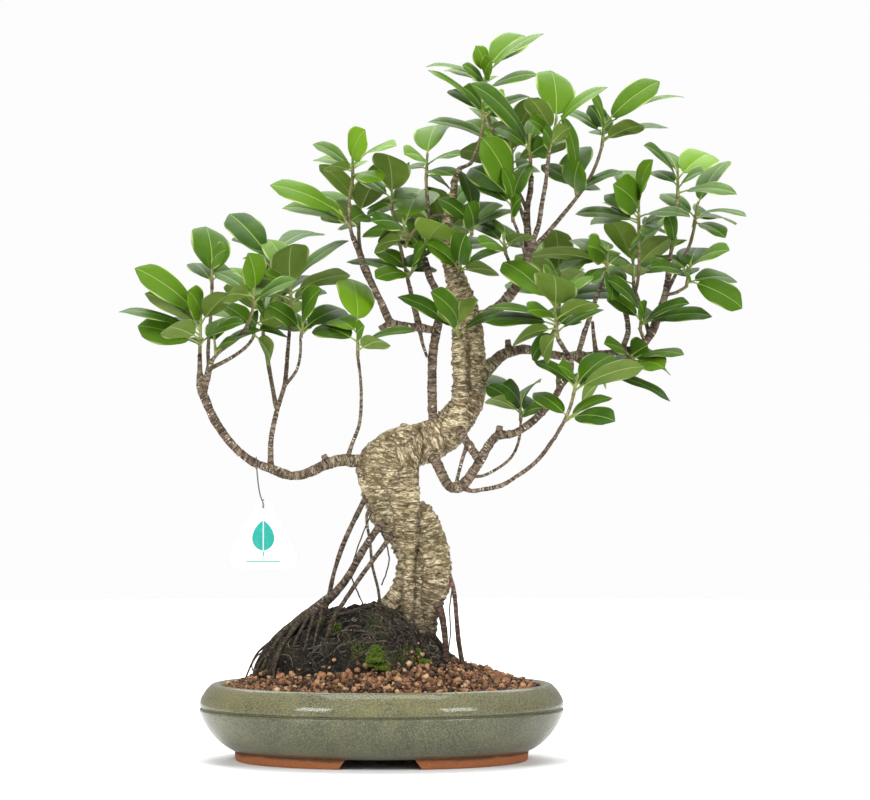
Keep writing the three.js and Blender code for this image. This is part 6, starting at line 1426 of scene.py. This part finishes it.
def build_fine_roots():
    rng = random.Random(17)
    dark, pale = [], []
    for _ in range(DARK_ROOTS):
        angle = rng.uniform(0, 2 * math.pi)
        start = rng.uniform(0.12, 0.8)
        end = min(start + rng.uniform(0.15, 0.5), 1.04)
        dark.append(slope_root(rng, angle, start, end, rng.uniform(0.4, 1.3)))
    for _ in range(PALE_ROOTS):
        angle = rng.uniform(0, 2 * math.pi)
        start = rng.uniform(0.3, 0.9)
        end = min(start + rng.uniform(0.05, 0.2), 1.02)
        pale.append(slope_root(rng, angle, start, end, rng.uniform(0.3, 0.55)))
    for path in FREE_ROOTS:
        rows = smooth_curve(path, 6)
        rows[:, 3] = np.maximum(rows[:, 3], FINE_ROOT_LEAST)
        for i, row in enumerate(rows):
            row[:3] += [0.5 * noise.noise(Vector((i * 0.45, path[0][0], axis))) for axis in range(3)]
        dark.append(rows)

    def make(name, roots, look):
        piece = add_mesh(name, *gather(placed_tube(rows, FINE_ROOT_SIDES) for rows in roots), look)
        outward(piece)
        stand_for(piece, "bark")

    look = Look("fine_root_bark", Specular_IOR_Level=0.25)
    fleck = look.noise(380, 3, 0.7)
    tone = look.mix(look.noise(30, 3), (0.014, 0.010, 0.008), (0.060, 0.041, 0.029))
    look.colour(look.mix(look.ramp(fleck, (0.52, 0), (0.68, 0.8)), tone, (0.14, 0.12, 0.095)))
    look.rough(fleck, 0.65, 0.9)
    look.bump((fleck, 0.4))
    make("fine_roots", dark, look.material)
    look = Look("pale_root_thread", Specular_IOR_Level=0.25)
    fleck = look.noise(300, 3, 0.7)
    look.colour(look.mix(fleck, (0.07, 0.057, 0.04), (0.26, 0.22, 0.16)))
    look.rough(fleck, 0.6, 0.85)
    look.bump((fleck, 0.3))
    make("root_threads", pale, look.material)


# Moss tufts as x, y, radius and height, and how many blades there are to a radius squared.
MOSS_BLADES, THIN_MOSS_BLADES = 14, 3
MOSS = {
    "moss_left": [(-5, -59, 7, 5), (2, -61, 6, 4.5), (-10, -60, 4, 3.5)],
    "moss_right": [(37, -37, 5.5, 4.2), (42, -33, 4, 3.4)],
}


def moss_blade(rng, root, lean, tall):
    """Three curved sides that meet in a point."""
    bend = Vector((rng.uniform(-1, 1), rng.uniform(-1, 1), 0)) * tall * 0.3
    up = (Vector((0, 0, 1)) + lean * 0.8).normalized() * tall
    turn = rng.uniform(0, 2)
    vertices = []
    for share, width in ((0, 0.34), (0.5, 0.42)):
        middle = root + up * share + bend * share * share
        for s in range(3):
            angle = turn + 2 * math.pi * s / 3
            vertices.append(middle + Vector((math.cos(angle), math.sin(angle), 0)) * width)
    vertices.append(root + up + bend)
    faces = [(2, 1, 0), (0, 1, 4, 3), (1, 2, 5, 4), (2, 0, 3, 5), (3, 4, 6), (4, 5, 6), (5, 3, 6)]
    return vertices, faces


def moss_look():
    look = Look("green_moss", Specular_IOR_Level=0.2)
    tint = look.attribute("tint")
    height = look.attribute("height")
    body = look.mix(tint, (0.045, 0.085, 0.008), (0.13, 0.195, 0.020))
    # Painted shade: the blades darken to near black towards their bases, inside the cushion.
    body = look.mix(look.ramp(height, (0.0, 1), (0.75, 0)), body, (0.012, 0.022, 0.004))
    fleck = look.noise(500, 2)
    look.colour(look.mix(look.ramp(fleck, (0.5, 0), (0.8, 0.6)), body, (0.26, 0.34, 0.045)))
    look.rough(fleck, 0.7, 0.95)
    look.bump((fleck, 0.2))
    return look.material


def build_moss(look):
    rng = random.Random(23)
    extra = [
        (-42, -36), (-20, -52), (-55, -22), (-8, -44), (18, -50), (26, -44), (-66, -8), (-30, 40), (12, 50),
    ]
    tufts = {**MOSS, "moss_thin": [(x, y, rng.uniform(3, 6), 1.0) for x, y in extra]}
    for node, cushions in tufts.items():
        parts, tints, shade_heights = [], [], []
        for x, y, radius, rise in cushions:
            blades = MOSS_BLADES if node in MOSS else THIN_MOSS_BLADES
            for _ in range(int(blades * radius * radius)):
                angle, share = rng.uniform(0, 2 * math.pi), math.sqrt(rng.random())
                px, py = x + radius * share * math.cos(angle), y + radius * share * math.sin(angle)
                seat = ground_height(px, py) - 0.5
                if node in MOSS:
                    seat = max(seat, ground_height(x, y)) + rise * 0.72 * math.sqrt(1 - share * share) - 1
                lean = Vector((math.cos(angle), math.sin(angle), 0)) * share
                blade, faces = moss_blade(rng, Vector((px, py, seat)), lean, rng.uniform(1.6, 3.2))
                parts.append(([place(*p) for p in blade], faces))
                tints += [rng.random()] * 7
                shade_heights += [0, 0, 0, 0.5, 0.5, 0.5, 1]
        piece = add_mesh(node + "_blades", *gather(parts), look)
        set_attribute(piece, "tint", tints)
        set_attribute(piece, "height", shade_heights)
        stand_for(piece, "moss", *([node] if node in MOSS else []))


# ---------------------------------------------------------------- tag

TAG_HOLE = (-105.8, -17.8, 225)
TAG_HOLE_RADIUS = 4
TAG_THICKNESS, TAG_EDGE = 1, 0.25
PRINT_THICKNESS, PRINT_EDGE, PRINT_RAISED = 0.08, 0.01, 0.54
WIRE_RADIUS = 0.6


def bezier(a, b, c, d, steps=14):
    """Points along one cubic, without its last."""
    for i in range(steps):
        t = i / steps
        yield tuple(
            (1 - t) ** 3 * p + 3 * t * (1 - t) ** 2 * q + 3 * t * t * (1 - t) * r + t ** 3 * s
            for p, q, r, s in zip(a, b, c, d)
        )


def tag_outline():
    """The right half from the top down, then its mirror image back up, about the hole."""
    half, bottom = 32, -53
    right = list(bezier((0, 9), (7, 9), (8, 4), (11, -2)))
    right += [(11 + (half - 17) * t, -2 + (bottom + 24) * t) for t in (0, 0.25, 0.5, 0.75)]
    corner = (half - 6, bottom + 22), (half + 3, bottom + 5), (half - 4, bottom + 1), (half - 14, bottom)
    right += bezier(*corner)
    right.append((half - 14, bottom))
    return right + [(-x, z) for x, z in reversed(right[1:])]


def plate(name, outlines, thickness, edge, look, raised=0.0):
    """A flat piece in the tag's plane from outlines about its hole, with its edges rounded."""
    data = bpy.data.curves.new(name, "CURVE")
    data.dimensions = "2D"
    data.fill_mode = "BOTH"
    data.extrude = (thickness / 2 - edge) * MM
    data.bevel_depth = edge * MM
    data.bevel_resolution = 2
    data.offset = -edge * MM
    for outline in outlines:
        spline = data.splines.new("POLY")
        spline.points.add(len(outline) - 1)
        spline.use_cyclic_u = True
        for point, (x, z) in zip(spline.points, outline):
            point.co = (x * MM, z * MM, 0, 1)
    shape = add_object(name, data)
    graph = bpy.context.evaluated_depsgraph_get()
    mesh = bpy.data.meshes.new_from_object(shape.evaluated_get(graph))
    bpy.data.objects.remove(shape)
    x, y, z = TAG_HOLE
    for vertex in mesh.vertices:
        right, up, out = vertex.co
        vertex.co = place(x + right / MM, y - out / MM - raised, z + up / MM)
    mesh.materials.clear()
    mesh.materials.append(look)
    piece = add_object(name, mesh)
    outward(piece)
    mesh.shade_smooth()
    mesh.set_sharp_from_angle(angle=math.radians(40))
    return piece


def circle(radius, steps=32):
    turns = [2 * math.pi * i / steps for i in range(steps)]
    return [(radius * math.cos(a), radius * math.sin(a)) for a in turns]


def leaf_print():
    """A plain leaf in two halves beside a bare midrib, on a short stalk, over a ruled line."""
    outlines = []
    for side in (1, -1):
        curve = [*bezier((0.5, -36), (13, -33), (13, -18), (0.5, -9), 20), (0.5, -9)]
        outlines.append([(side * x, z) for x, z in curve])
    outlines.append([(-0.45, -36.6), (0.45, -36.6), (0.45, -41), (-0.45, -41)])
    outlines.append([(-15, -45.2), (15, -45.2), (15, -46), (-15, -46)])
    return outlines


def tag_look():
    look = Look(
        "frosted_white_plastic", Specular_IOR_Level=0.4, Subsurface_Weight=0.3,
        Subsurface_Radius=(1, 1, 1), Subsurface_Scale=0.002,
    )
    haze = look.noise(45, 3, 0.5)
    grain = look.noise(800, 2, 0.6)
    look.colour(look.mix(haze, (0.66, 0.74, 0.79), (0.76, 0.82, 0.86)))
    look.rough(grain, 0.32, 0.5)
    look.bump((grain, 0.04), (haze, 0.15))
    return look.material


def ink_look():
    look = Look("teal_print", Specular_IOR_Level=0.4)
    wear = look.noise(300, 3, 0.6)
    look.colour(look.mix(look.ramp(wear, (0.5, 0), (0.75, 0.6)), (0.012, 0.33, 0.27), (0.06, 0.45, 0.37)))
    look.rough(wear, 0.4, 0.6)
    look.bump((wear, 0.03))
    return look.material


def wire_look():
    look = Look("grey_coated_wire", Metallic=0.35, Specular_IOR_Level=0.5)
    wear = look.noise(260, 3, 0.6)
    look.colour(look.mix(wear, (0.045, 0.047, 0.05), (0.16, 0.16, 0.165)))
    look.rough(wear, 0.35, 0.6)
    look.bump((wear, 0.08))
    return look.material


def build_tag():
    outlines = [tag_outline(), circle(TAG_HOLE_RADIUS)]
    tag = plate("plant_tag", outlines, TAG_THICKNESS, TAG_EDGE, tag_look())
    stand_for(tag, "tag_plastic", "tag")
    ink = plate("tag_print", leaf_print(), PRINT_THICKNESS, PRINT_EDGE, ink_look(), PRINT_RAISED)
    stand_for(ink, "tag_plastic")

    curve = smooth_curve(WIRE_PATH, 8)
    points = [place(*row) for row in curve]
    data = bpy.data.curves.new("tag_wire_curve", "CURVE")
    data.dimensions = "3D"
    data.bevel_depth = WIRE_RADIUS * MM
    data.bevel_resolution = 4
    data.use_fill_caps = True
    spline = data.splines.new("POLY")
    spline.points.add(len(points) - 1)
    for target, point in zip(spline.points, points):
        target.co = (*point, 1)
    data.materials.append(wire_look())
    wire = add_object("tag_wire_bent", data)
    length = sum((b - a).length for a, b in zip(points, points[1:]))
    tuple(points[0])
    stand_for(wire, "wire", "tag_wire")


# ---------------------------------------------------------------- floor and light

FLOOR_RADIUS, FLOOR_SIDES = 2.6, 96
SKY_LIGHT, SKY_SEEN = 0.46, 0.98


def build_studio():
    """A wide pale floor and four softboxes, under a white sky that gives less light than it shows."""
    vertices = [(x, y, 0) for x, y in circle(FLOOR_RADIUS, steps=FLOOR_SIDES)]
    look = Look("pale_paper", Specular_IOR_Level=0.05)
    tone = look.noise(3, 2)
    look.colour(look.mix(tone, (0.93, 0.935, 0.94), (0.955, 0.957, 0.96)))
    look.rough(tone, 0.9, 1.0)
    floor = add_mesh("studio_floor", vertices, [tuple(range(FLOOR_SIDES))], look.material, smooth=False)

    world = bpy.data.worlds.new("studio_world")
    world.use_nodes = True
    nodes, links = world.node_tree.nodes, world.node_tree.links
    sky = nodes["Background"]
    sky.inputs["Color"].default_value = (1, 1, 1, 1)
    seen = nodes.new("ShaderNodeMapRange")
    links.new(nodes.new("ShaderNodeLightPath").outputs["Is Camera Ray"], seen.inputs["Value"])
    seen.inputs["To Min"].default_value = SKY_LIGHT
    seen.inputs["To Max"].default_value = SKY_SEEN
    links.new(seen.outputs["Result"], sky.inputs["Strength"])
    bpy.context.scene.world = world

    def softbox(name, where, target, width, height, power):
        data = bpy.data.lights.new(name, "AREA")
        data.shape = "RECTANGLE"
        data.size, data.size_y = width, height
        data.energy = power
        lamp = add_object(name, data)
        lamp.location = where
        lamp.visible_camera = False
        lamp.rotation_euler = (Vector(target) - Vector(where)).to_track_quat("-Z", "Y").to_euler()

    softbox("key_left", (-1.5, -1.9, 1.6), (0, 0, 0.3), 0.8, 1.0, 40)
    softbox("key_right", (1.6, -1.8, 1.5), (0, 0, 0.3), 0.8, 1.0, 36)
    softbox("top", (0, 0.2, 2.3), (0, 0, 0.2), 1.6, 1.6, 44)
    softbox("floor_wash", (0, 1.9, 2.2), (0, 1.7, 0), 3.2, 1.8, 70)
    bpy.context.scene.view_settings.view_transform = "Standard"


# ---------------------------------------------------------------- everything put together

def drain_look():
    look = Look("drain_mesh_plastic", Specular_IOR_Level=0.4)
    wear = look.noise(200, 3)
    look.colour(look.mix(wear, (0.02, 0.022, 0.022), (0.05, 0.052, 0.05)))
    look.rough(wear, 0.4, 0.65)
    look.bump((wear, 0.1))
    return look.material


def paint_nodes(look, *nodes):
    """Gives CAD nodes that stay in view a better material."""
    for node in nodes:
        materials = bpy.data.objects[node].data.materials
        materials.clear()
        materials.append(look)


build_tag()
build_studio()
build_pot()
paint_nodes(gravel_gap_shade_look(), "potting_soil", "gravel")
paint_nodes(drain_look(), "drain_mesh_left", "drain_mesh_right")
build_root_ball(soil_look())
build_gravel(gravel_look())
build_fine_roots()
build_moss(moss_look())
build_all_wood()
build_sprays([leaf_look(), stem_look()])

bpy.context.view_layer.update()
